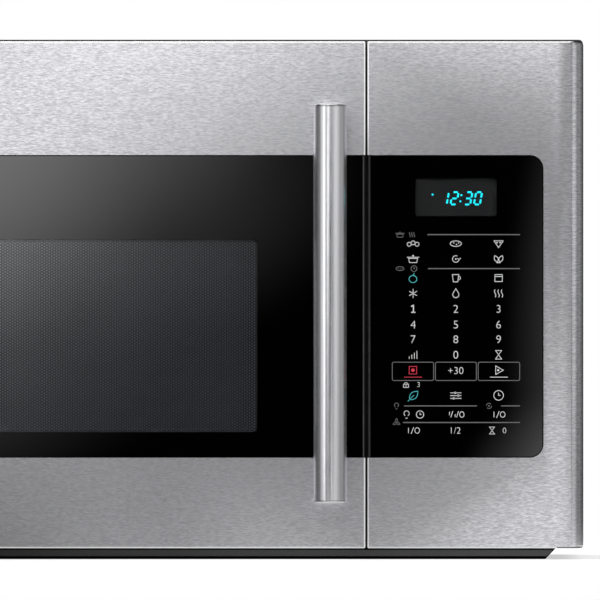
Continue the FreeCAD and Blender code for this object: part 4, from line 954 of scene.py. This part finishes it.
# Each mark is open lines, closed lines and dots (x, z, radius)
marks = {
    "kernels": ((), [ovalPoints(x, z, 0.3, 0.3) for x, z in ((-0.6, -0.1), (0, 0.12), (0.6, -0.1))], ()),
    "tuber": ((), [ovalPoints(0, 0, 0.85, 0.42)], ((-0.3, 0.1, 0.09), (0.1, -0.12, 0.09), (0.42, 0.1, 0.09))),
    "slice": ((), [[(-0.62, 0.38), (0.62, 0.38), (0, -0.55)]], ((-0.2, 0.14, 0.1), (0.2, 0.14, 0.1))),
    "pot": ([[(-0.85, 0.24), (0.85, 0.24)]], [[(-0.6, 0.08), (-0.5, -0.48), (0.5, -0.48), (0.6, 0.08)]],
            [(0, 0.44, 0.11)]),
    "again": ([arcPoints(0, 0, 0.45, 60, 360), [(0.2, 0.1), (0.45, -0.06), (0.68, 0.14)]], (), [(0, 0, 0.1)]),
    "leaves": ([[(-0.3, -0.5), (0.3, -0.5)]],
               [leafPoints(way * 0.32, 0.02, 0.95, way * -24) for way in (-1, 1)], ()),
    "apple": ([[(0, 0.3), (0.14, 0.56)]], [ovalPoints(-0.02, -0.12, 0.44, 0.4)], ()),
    "cup": ([arcPoints(0.32, 0, 0.24, -80, 80)],
            [[(-0.42, 0.42), (-0.3, -0.48), (0.24, -0.48), (0.36, 0.42)]], ()),
    "box": ([[(-0.5, 0.2), (0.5, 0.2)]], [square(-0.5, -0.48, 0.5, 0.46)], ()),
    "flake": ([[(-0.5 * x, -0.5 * z), (0.5 * x, 0.5 * z)] for x, z in spokes], (), ()),
    "drop": ((), [[(0, 0.55)] + arcPoints(0, -0.14, 0.36, 30, -210)], ()),
    "waves": ([wavePoints(x) for x in (-0.4, 0, 0.4)], (), ()),
    "steps": ([[(-0.45 + 0.3 * bar, -0.48), (-0.45 + 0.3 * bar, -0.2 + 0.22 * bar)] for bar in range(4)],
              (), ()),
    "glass": ((), [[(-0.36, 0.5), (0.36, 0.5), (-0.36, -0.5), (0.36, -0.5)]], ()),
    "stop": ([underline], [square(-0.42, -0.42, 0.42, 0.42)], [(0, 0, 0.2)]),
    "start": ([underline], [[(-0.36, -0.48), (0.5, 0), (-0.36, 0.48)]], [(-0.08, 0, 0.12)]),
    "lock": ([arcPoints(0, 0.05, 0.27, 0, 180)], [square(-0.4, -0.45, 0.4, 0.05)], [(0, -0.2, 0.09)]),
    "eco": ([[(-0.5, -0.5), (0.1, 0.1)]], [leafPoints(0.05, 0.05, 1.15, -45)], ()),
    "sliders": ([[(-0.8, level), (0.8, level)] for level in (-0.4, 0.0, 0.4)], (),
                ((-0.3, -0.4, 0.16), (0.35, 0.0, 0.16), (-0.1, 0.4, 0.16))),
    "clock": ([[(0, 0.26), (0, 0), (0.2, 0)]], [ovalPoints(0, 0, 0.5, 0.5)], ()),
    "bulb": ([[(-0.16, -0.5), (0.16, -0.5)], arcPoints(0, 0.14, 0.36, -60, 240)], (), ()),
    "turning": ([arcPoints(0, 0, 0.45, 40, 180), arcPoints(0, 0, 0.45, 220, 360)], (), [(0, 0, 0.14)]),
    "blades": ((), [leafPoints(0.3 * math.cos(turn), 0.3 * math.sin(turn), 0.6, math.degrees(turn) - 90)
                    for turn in (math.pi / 2, math.pi * 7 / 6, math.pi * 11 / 6)], ()),
    "switch": ([[(-0.7, -0.42), (-0.7, 0.42)], [(-0.3, -0.5), (0.1, 0.5)]],
               [ovalPoints(0.62, 0, 0.36, 0.42)], ()),
    "levels": ([[(-0.95, -0.1), (-0.95, 0.42)], [(-0.75, -0.42), (-0.45, 0.5)], [(-0.1, -0.42), (-0.1, 0.05)],
                [(0.12, -0.42), (0.42, 0.5)]], [ovalPoints(0.92, 0, 0.34, 0.42)], ()),
}
numberOne = ([(-0.26, 0.3), (0.04, 0.46), (0.04, -0.44)], [(-0.24, -0.44), (0.3, -0.44)])
# For each ink: mark, column, row, height in shares of the usual one
inkMarks = {
    "legendsWhite": (
        ("kernels", 413.1, 243.6, 0.85), ("tuber", 455.8, 243.6, 0.85), ("slice", 498.6, 243.6, 0.95),
        ("pot", 413.1, 259.0, 0.95), ("again", 455.8, 259.0, 0.95), ("leaves", 498.6, 259.0, 0.95),
        ("cup", 455.8, 278.0, 1.05), ("box", 498.6, 278.0, 0.95),
        ("flake", 413.1, 293.4, 1.15), ("drop", 455.8, 293.4, 1.1), ("waves", 498.6, 293.4, 1.1),
        ("steps", 413.1, 354.8, 1.1), ("glass", 498.6, 354.8, 1.1),
        ("start", 498.95, 370.2, 1.15), ("lock", 406.0, 384.6, 0.8),
        ("sliders", 455.8, 395.6, 0.9), ("clock", 498.6, 395.4, 1.25),
        ("bulb", 406.6, 414.5, 0.95), ("clock", 420.0, 414.5, 0.95), ("levels", 455.8, 414.5, 0.85),
        ("switch", 498.6, 414.5, 0.85), ("switch", 413.1, 430.5, 0.85), ("glass", 492.0, 430.5, 0.9)),
    "legendsGrey": (
        ("bulb", 396.5, 405.9, 0.75), ("turning", 489.0, 405.9, 0.75), ("blades", 396.5, 422.5, 0.85),
        ("pot", 400.0, 234.6, 0.7), ("waves", 412.0, 234.6, 0.7), ("tuber", 400.0, 268.6, 0.6),
        ("clock", 414.0, 268.6, 0.75)),
    "legendsCyan": (("apple", 413.1, 278.0, 1.15), ("eco", 413.1, 396.0, 1.35)),
    "legendsRed": (("stop", 412.95, 370.2, 1.15),),
}


def drawLines(shape, lines, column, row, tall, stroke, y, closed=False):
    x, z = photoX(column), photoZ(row)
    for points in lines:
        ribbon(shape, [(x + px * tall, z + pz * tall) for px, pz in points], stroke, y, closed)


def drawMark(shape, name, column, row, share, y):
    tall = legends["markHeight"] * share
    opened, closed, dots = marks[name]
    drawLines(shape, opened, column, row, tall, legends["stroke"], y)
    drawLines(shape, closed, column, row, tall, legends["stroke"], y, True)
    for px, pz, radius in dots:
        disc(shape, photoX(column) + px * tall, photoZ(row) + pz * tall, radius * tall, y)


def drawNumber(shape, words, column, row, pixels, y):
    # Numbers from the built-in typeface, centred on their place
    curve = bpy.data.curves.new("number", "FONT")
    curve.body = words
    curve.resolution_u = 6
    curve.offset = legends["numberOffset"]
    carrier = bpy.data.objects.new("number", curve)
    scene.collection.objects.link(carrier)
    graph = bpy.context.evaluated_depsgraph_get()
    mesh = bpy.data.meshes.new_from_object(carrier.evaluated_get(graph))
    xs, ys = [[vertex.co[axis] for vertex in mesh.vertices] for axis in (0, 1)]
    scale = pixels * photo["scale"] / (max(ys) - min(ys))
    middle = Matrix.Translation((-(min(xs) + max(xs)) / 2, -(min(ys) + max(ys)) / 2, 0))
    place = Matrix.Translation((photoX(column), y, photoZ(row))) @ Matrix.Rotation(math.pi / 2, 4, "X")
    mesh.transform(place @ Matrix.Scale(scale, 4) @ middle)
    shape.from_mesh(mesh)
    bpy.data.objects.remove(carrier)


def keyLegends():
    y = panelGlassLow.y - legends["lift"]
    shapes = {name: bmesh.new() for name in inkMarks}
    white, dim = shapes["legendsWhite"], shapes["legendsGrey"]
    places = [(column, row) for row in legends["numberRows"] for column in legends["columns"]]
    for number, (column, row) in enumerate(places[1:], 2):
        drawNumber(white, str(number), column, row, legends["numberHeight"], y)
    drawLines(white, numberOne, *places[0], legends["numberHeight"] * photo["scale"], legends["oneStroke"], y)
    for number in legends["otherNumbers"]:
        drawNumber(white, *number, y)
    for name, given in inkMarks.items():
        for mark in given:
            drawMark(shapes[name], *mark, y)
    for left, right, row in legends["rules"]:
        ribbon(dim, [(photoX(column), photoZ(row)) for column in (left, right)], legends["ruleStroke"], y)
    top, bottom = [photoZ(row) for row in legends["keyRows"]]
    for left, right in legends["keyColumns"]:
        key = outline(photoX(left), photoX(right), bottom, top, [legends["keyCorner"]] * 4, 5)
        ribbon(dim, key, legends["keyStroke"], y, True)
    for name, shape in shapes.items():
        fitted(printed(name, shape, legends["coat"], name), "cabinet", "white_plastic")


keyLegends()
print("key legends made")

# Sheet parts of the case and door, with their edges eased by so many millimetres
easedSheets = {
    "base_plate": 0.4, "left_side_panel": 0.35, "right_side_panel": 0.35, "top_panel": 0.3, "rear_panel": 0.3,
    "front_frame": 0.3, "vent_grille": 0.5, "door_frame": 0.4, "door_choke_cover": 0.4,
    "control_panel_carrier": 0.4, "upper_hinge": 0.3, "lower_hinge": 0.3, "door_latch": 0.5,
    "latch_body": 0.6, "oven_cavity": 0.25,
}
movingSheets = {"door_frame": "door", "door_choke_cover": "door", "door_latch": "latch"}
basePan = {
    "round": 1.3 * mm, "front": 1.4 * mm,
    "band": (2.4 * mm, 7.6 * mm),     # its front is painted black, as shade, below and above this
    "turned": 0.97,                   # and where it looks forward less than this
}
sidePanel = {"round": 2.6 * mm, "shortest": 20 * mm}


def cadShape(node):
    shape = bmesh.new()
    shape.from_mesh(cadNodes[node].data)
    bmesh.ops.remove_doubles(shape, verts=shape.verts, dist=weld)
    bmesh.ops.dissolve_limit(shape, angle_limit=math.radians(1), verts=shape.verts, edges=shape.edges)
    return shape


def widerEdges(shape, node):
    # The base pan's front outline and the side panels' long outer edges are rounder
    low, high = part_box(node)
    if node == "base_plate":
        front = [edge for edge in shape.edges if all(vert.co.y < low.y + tiny for vert in edge.verts)]
        return front, basePan["round"]
    outer = high.x if high.x > 0 else low.x
    chosen = []
    for edge in shape.edges if node.endswith("side_panel") else ():
        first, second = [vert.co for vert in edge.verts]
        onSide = abs(first.x - outer) < tiny and abs(second.x - outer) < tiny
        onEnd = min(first.z, second.z) > high.z - tiny or max(first.z, second.z) < low.z + tiny
        if onSide and onEnd and abs(first.y - second.y) > sidePanel["shortest"]:
            chosen.append(edge)
    return chosen, sidePanel["round"]


def easedCopy(node, body, width):
    shape = cadShape(node)
    chosen, radius = widerEdges(shape, node)
    if chosen:
        bmesh.ops.bevel(shape, geom=chosen, offset=radius, segments=5, profile=0.5, affect="EDGES")
    first, *rest = node.split("_")
    piece = newPiece(first + "".join(word.title() for word in rest), shape,
                     "darkZinc" if node == "front_frame" else slotOf[node])
    low, high = basePan["band"]
    if node == "base_plate":
        sliced(piece, [((0, 0, level), (0, 0, 1)) for level in (low, high)])
    softEdges(piece, width * mm, 2, 50)
    # Painted shade: the pan's front edges and its strips above and below the band get the glass print's black
    if node == "base_plate":
        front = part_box(node)[0].y + basePan["front"]
        secondFinish(piece, "glassMask", lambda centre, normal: centre.y < front and (
            normal.y > -basePan["turned"] or not low < centre.z < high))
    fitted(piece, body, slotOf[node], node)


for node, width in easedSheets.items():
    easedCopy(node, movingSheets.get(node, "cabinet"), width)
print("sheet parts eased")

# Grease filters: a rounded rail frame with two layers of expanded mesh
greaseFilter = {
    "rail": 12.0 * mm, "corner": 4.0 * mm, "leastCorner": 0.6 * mm, "edge": 0.9 * mm, "soft": 0.2 * mm,
    "cell": (9.0 * mm, 4.6 * mm), "strand": 0.62, "tilt": 0.35 * mm, "gauge": 0.5 * mm,
    "layers": (-1.0 * mm, 1.0 * mm),
}


def railFrame(low, high):
    wide, edge = greaseFilter["rail"], greaseFilter["edge"]
    profile = [(edge, low.z), (wide - edge, low.z), (wide, low.z + edge), (wide, high.z - edge),
               (wide - edge, high.z), (edge, high.z), (0, high.z - edge), (0, low.z + edge), (edge, low.z)]
    limits = (low.x, high.x, low.y, high.y)
    rings = []
    for inset, z in profile:
        points = insetOutline(limits, inset, [greaseFilter["corner"]] * 4, greaseFilter["leastCorner"], 6)
        rings.append([Vector((x, y, z)) for x, y in points])
    rail = loftPiece("rail", rings, "filter_aluminium", (False, False), weld)
    return smoothed(softEdges(rail, greaseFilter["soft"], 2, 30))


def greaseFilters():
    wide, tall = greaseFilter["cell"]
    corners = ((1, 0), (0, 1), (-1, 0), (0, -1))
    rings = [[(across * share * wide / 2, up * share * tall / 2, up * greaseFilter["tilt"])
              for across, up in corners] for share in (1.0, greaseFilter["strand"])]
    for side in ("left", "right"):
        node = "grease_filter_" + side
        low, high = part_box(node)
        middle = (low + high) / 2
        inside = high - low - 2 * greaseFilter["rail"] * Vector((1, 1, 1))
        counts = (int(inside.x / (wide / 2)) + 1, int(inside.y / tall) + 1)
        layers = [railFrame(low, high)]
        for offset in greaseFilter["layers"]:
            layer = latticeSheet("layer", rings, "filter_aluminium", counts, (wide / 2, tall),
                                 middle + offset * Vector((1, 1, 1)), (0.0, 0.0, 0.0))
            layers.append(thickened(layer, greaseFilter["gauge"]))
        piece = joinedPiece(side + "GreaseFilter", layers, "filter_aluminium")
        fitted(piece, side + "_grease_filter", "filter_aluminium", node)


greaseFilters()
print("grease filters made")

# Cooktop lamp lenses with ribs under them
lens = {"length": 110 * mm, "ribs": 14, "ribDepth": 0.7 * mm, "ribSteps": 6}


def lampLenses():
    low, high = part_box("cooktop_lamp_lenses")
    deep, count = lens["ribDepth"], lens["ribs"] * lens["ribSteps"]
    profile = [(high.y, high.z), (low.y, high.z), (low.y, low.z + deep)]
    for step in range(1, count):
        wave = abs(math.sin(math.pi * step / lens["ribSteps"]))
        profile.append((low.y + (high.y - low.y) * step / count, low.z + deep * (1 - wave)))
    profile.append((high.y, low.z + deep))
    lenses = [loftPiece("lens", [[Vector((x, y, z)) for y, z in profile] for x in ends], "lens_glass")
              for ends in ((low.x, low.x + lens["length"]), (high.x - lens["length"], high.x))]
    piece = joinedPiece("cooktopLampLenses", lenses, "lens_glass")
    fitted(smoothed(piece, 60), "cabinet", "lens_glass", "cooktop_lamp_lenses")


lampLenses()

# Glass tray with pressed rings
tray = {
    "bendStart": 148.0 * mm, "glass": 5.0 * mm, "rings": (40.0 * mm, 118.0 * mm), "ringHeight": 1.0 * mm,
    "ringStep": 0.9 * mm, "innerBend": 7 * mm, "outerBend": 10 * mm, "lip": 1.3 * mm,
    "lipInner": (2.6 * mm, 0.7 * mm), "lipOuter": (0.4 * mm, 4 * mm),
}


def glassTray():
    low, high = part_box("glass_tray")
    radius = (high.x - low.x) / 2
    top = low.z + tray["glass"]
    start, inner, outer, lip = tray["bendStart"], tray["innerBend"], tray["outerBend"], tray["lip"]
    profile = [(0, top)]
    for ring in tray["rings"]:
        for step in range(-4, 5):
            lift = tray["ringHeight"] * 0.5 * (1 + math.cos(math.pi * step / 4))
            profile.append((ring + step * tray["ringStep"], top + lift))
    profile += arcPoints(start, top + inner, inner, -90, -12, 8)
    profile.append((radius - tray["lipInner"][0], high.z - tray["lipInner"][1]))
    profile += arcPoints(radius - lip, high.z - lip, lip, 150, 0, 6)
    profile.append((radius - tray["lipOuter"][0], high.z - tray["lipOuter"][1]))
    profile += arcPoints(start, low.z + outer, outer, -15, -90, 8)
    profile.append((0, low.z))
    centre = Vector(((low.x + high.x) / 2, (low.y + high.y) / 2, 0))
    piece = lathePiece("glassTray", profile, centre, "tray_glass", 128)
    fitted(smoothed(piece, 50), "turntable", "tray_glass", "glass_tray")


glassTray()
print("tray and lenses made")

# Case screws, and the weld nuts
screws = {
    "head": 4.0 * mm, "tall": 0.7 * mm, "slot": 0.9 * mm, "slotLength": 1.1, "rows": 4, "seat": 9.4 * mm,
    "shank": 2.0 * mm, "tip": 1.5 * mm, "shankEnd": 7.4 * mm, "tipEnd": 8.0 * mm, "nutEdge": 0.5 * mm,
}


def screwHead():
    # A low head under a sheet, with a cross recess, and its shank above
    radius, tall = screws["head"], screws["tall"]
    profile = [(0, -tall)]
    for step in range(1, 9):
        angle = math.radians(90 * step / 8)
        profile.append((radius * math.sin(angle) ** 0.8, -tall * math.cos(angle) * 0.75 - tall * 0.25))
    profile += [(radius, 0), (screws["shank"], 0), (screws["shank"], screws["shankEnd"]),
                (screws["tip"], screws["tipEnd"]), (0, screws["tipEnd"])]
    head = lathePiece("screw", profile, (0, 0, 0), "fastener_steel", 32)
    long = radius * screws["slotLength"]
    cuts = []
    for wide, deep in ((screws["slot"], long), (long, screws["slot"])):
        shape = bmesh.new()
        bmesh.ops.create_cube(shape, size=1)
        shape.transform(Matrix.Translation((0, 0, -tall)) @ Matrix.Diagonal((wide, deep, tall, 1)))
        cuts.append(newPiece("cutter", shape, "fastener_steel"))
    return smoothed(cutAway(head, cuts))


def caseFasteners():
    low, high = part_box("case_fasteners")
    first, last = low.y + screws["head"], high.y - screws["head"]
    step = (last - first) / (screws["rows"] - 1)
    places = bmesh.new()
    for way in (-1, 1):
        for row in range(screws["rows"]):
            places.verts.new((way * (high.x - screws["head"]), first + row * step, screws["seat"]))
    head = screwHead()
    heads = grown("screws", pointTree("set on points"), {"Fastener": head}, "fastener_steel", places)
    bpy.data.objects.remove(head)
    shape = cadShape("case_fasteners")
    bmesh.ops.delete(shape, geom=[vert for vert in shape.verts if vert.co.z < high.z / 2], context="VERTS")
    nuts = softEdges(newPiece("nuts", shape, "fastener_steel"), screws["nutEdge"], 2, 40)
    piece = joinedPiece("caseFasteners", [heads, nuts], "fastener_steel")
    fitted(piece, "cabinet", "fastener_steel", "case_fasteners")


caseFasteners()
print("fasteners made")

# Perforated guard over the cavity lamp
lampGuard = {
    "size": (24.0 * mm, 20.0 * mm), "pitch": 3.4 * mm, "hole": 1.15 * mm, "place": (-63.0 * mm, 293.0 * mm),
    "inset": 0.5 * mm, "gauge": 0.4 * mm,
}


def cavityLampGuard():
    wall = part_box("oven_cavity")[1].x - lampGuard["inset"]
    guard = hexSheet("cavityLampGuard", "cavity_enamel", lampGuard, lampGuard["size"], 0,
                     (wall, *lampGuard["place"]), (math.pi / 2, 0.0, math.pi / 2))
    fitted(thickened(guard, lampGuard["gauge"]), "cabinet", "cavity_enamel")


cavityLampGuard()
print("lamp guard made")

# Camera straight on, at the photograph's frame
view = {"distance": 18.0, "sensor": 36.0, "reach": 60}


def makeCamera():
    data = bpy.data.cameras.new("camera")
    data.sensor_width = view["sensor"]
    data.lens = view["sensor"] * view["distance"] / (photo["pixels"] * photo["scale"])
    data.clip_end = view["reach"]
    camera = bpy.data.objects.new("camera", data)
    half = photo["pixels"] / 2
    camera.location = (photoX(half), face - view["distance"], photoZ(half))
    camera.rotation_euler = upright
    scene.collection.objects.link(camera)
    scene.camera = camera


makeCamera()

# Studio: white world, pale floor, soft lamps, and soft boxes and flags that only reflections see
studio = {
    "fill": 0.55,            # world level for diffuse light
    "floor": 0.62,
    "floorLift": 0.55,       # evens the floor to the white behind it
    "floorFade": (0.75, 1.5), "floorSize": 6, "floorDrop": 0.1 * mm, "lampGloss": 0.1,
    "wallRadius": 1.6, "wallHeight": (-0.05, 3.2), "wallReach": 174,
    "boxFall": (0.2, 1.8),   # a box fades between these shares of its half size
}
softBoxes = (
    # angle from the front in degrees, height, half width, half height, level
    (-9.0, 0.34, 6.0, 0.12, 1.35), (-10.0, 0.2, 7.0, 0.12, 0.5), (-3.0, 0.42, 5.0, 0.1, 0.8),
    (-1.0, 0.33, 5.0, 0.1, 0.35), (2.0, 0.52, 4.0, 0.07, 1.1), (0.0, 0.85, 10.0, 0.2, 2.35),
    (8.0, 0.56, 5.0, 0.08, 0.5), (4.0, 0.64, 10.0, 0.12, 1.35), (10.0, 0.46, 8.0, 0.06, 0.45),
    (21.0, 0.5, 6.0, 0.14, 0.35), (14.5, 0.04, 2.5, 0.06, 0.8), (15.5, 0.15, 2.2, 0.2, 0.6),
    (22.0, 0.35, 4.0, 0.3, 0.2), (29.0, 0.25, 4.0, 0.25, 0.4), (38.0, 0.4, 8.0, 1.2, 0.5),
    (52.0, 0.4, 10.0, 1.2, 0.38), (80.0, 0.5, 20.0, 1.2, 0.36), (115.0, 0.5, 16.0, 1.2, 0.14),
    (-30.0, 0.4, 6.0, 1.0, 1.7), (-46.0, 0.4, 12.0, 1.2, 0.8), (-72.0, 0.5, 14.0, 1.2, 0.2),
)
floorPads = (
    # place across, half width, level
    (-0.3, 0.2, 0.15), (0.05, 0.12, 0.6), (0.2, 0.1, 0.58), (0.36, 0.1, 0.85), (0.5, 0.12, 0.65),
)
floorFlag = {"front": -0.12, "side": 0.4, "level": 2 * mm}
lamps = (
    # place, aim, size, watts
    ((-1.1, -1.9, 1.5), (0.0, -0.1, 0.2), 1.2, 26.0),
    ((1.5, -1.6, 0.9), (0.1, -0.1, 0.2), 1.0, 12.0),
    ((0.0, 1.6, 1.6), (0.0, 0.1, 0.2), 1.4, 18.0),
)


def makeWorld():
    world = bpy.data.worlds.new("studio")
    scene.world = world
    world.use_nodes = True
    tree = world.node_tree
    tree.nodes.clear()
    path = addNode(tree, "ShaderNodeLightPath").outputs
    seen = mathOf("ADD", plus(path["Is Camera Ray"], path["Is Glossy Ray"]),
                  path["Is Transmission Ray"], clamp=True)
    fill, white = [addNode(tree, "ShaderNodeBackground", None, Color=shade(1.0), Strength=level)
                   for level in (studio["fill"], 1.0)]
    mixShaders(seen, fill, white, addNode(tree, "ShaderNodeOutputWorld"))


def makeFloor():
    # Fades into the white background, so that only its shadow shows
    shape = bmesh.new()
    bmesh.ops.create_grid(shape, x_segments=1, y_segments=1, size=studio["floorSize"])
    shape.transform(Matrix.Translation((0, 0, -studio["floorDrop"])))
    finishes["floor"], tree, shader = newMaterial("floor", **{
        "Base Color": shade(studio["floor"]), "Roughness": 0.9, "Specular IOR Level": 0.1,
        "Emission Color": shade(1.0)})
    lift = times(lightPath(tree, "Is Camera Ray"), studio["floorLift"])
    put(shader.inputs["Emission Strength"], lift)
    away = addNode(tree, "ShaderNodeVectorMath", {"operation": "LENGTH"})
    put(away.inputs[0], ownPlace(tree))
    fade = ranged(away.outputs["Value"], *studio["floorFade"], kind="SMOOTHSTEP")
    clear = addNode(tree, "ShaderNodeBsdfTransparent")
    mixShaders(fade, shader, clear, tree.nodes["Material Output"])
    newPiece("floor", shape, "floor")


def makeLamps():
    for number, (place, aim, size, watts) in enumerate(lamps):
        data = bpy.data.lights.new("lamp%d" % number, "AREA")
        data.shape = "DISK"
        data.size = size
        data.energy = watts
        data.specular_factor = studio["lampGloss"]
        lamp = bpy.data.objects.new("lamp%d" % number, data)
        lamp.location = place
        lamp.rotation_euler = (Vector(aim) - Vector(place)).to_track_quat("-Z", "Y").to_euler()
        scene.collection.objects.link(lamp)


def glowCard(name, shape, brightness):
    # A stage card that only reflections see; brightness works out its level from its own coordinates
    finishes[name], tree, shader = newMaterial(name)
    tree.nodes.remove(shader)
    where = addNode(tree, "ShaderNodeSeparateXYZ", None, Vector=ownPlace(tree)).outputs
    glow = addNode(tree, "ShaderNodeEmission", None, Strength=brightness(where))
    put(tree.nodes["Material Output"].inputs["Surface"], glow.outputs[0])
    finishes[name].cycles.emission_sampling = "NONE"
    card = newPiece(name, shape, name)
    card.visible_camera = False
    card.visible_diffuse = False
    card.visible_shadow = False


def falling(away, level):
    return ranged(away, *studio["boxFall"], level, 0.0, "SMOOTHSTEP")


def softBoxLevel(where):
    angle = mathOf("ARCTAN2", where["X"], times(where["Y"], -1.0))
    total = 0.0
    for boxAngle, height, wide, tall, level in softBoxes:
        nearest = mathOf("WRAP", minus(angle, math.radians(boxAngle)), math.pi, -math.pi)
        across = mathOf("DIVIDE", nearest, math.radians(wide))
        up = mathOf("DIVIDE", minus(where["Z"], height), tall)
        away = mathOf("SQRT", plus(times(across, across), times(up, up)))
        total = plus(total, falling(away, level))
    return total


def floorFlagLevel(where):
    total = 0.0
    for place, wide, level in floorPads:
        away = mathOf("DIVIDE", mathOf("ABSOLUTE", minus(where["X"], place)), wide)
        total = plus(total, falling(away, level))
    return total


def makeSoftBoxes():
    reach, radius = studio["wallReach"], studio["wallRadius"]
    wall = bmesh.new()
    angles = [math.radians(angle) for angle in range(-reach, reach + 1, 3)]
    low, high = [[wall.verts.new((radius * math.sin(angle), -radius * math.cos(angle), z))
                  for angle in angles] for z in studio["wallHeight"]]
    for number in range(len(low) - 1):
        wall.faces.new((low[number], high[number], high[number + 1], low[number + 1]))
    glowCard("softBoxWall", wall, softBoxLevel)
    flag = bmesh.new()
    front, side, z = floorFlag["front"], floorFlag["side"], floorFlag["level"]
    for x0, x1, y0, y1 in ((-radius, radius, -radius, front), (-radius, -side, front, radius),
                           (side, radius, front, radius)):
        flag.faces.new([flag.verts.new((x, y, z)) for x, y in square(x0, y0, x1, y1)])
    glowCard("floorFlag", flag, floorFlagLevel)


makeWorld()
makeFloor()
makeLamps()
makeSoftBoxes()
scene.view_settings.view_transform = "Standard"
print("studio made")
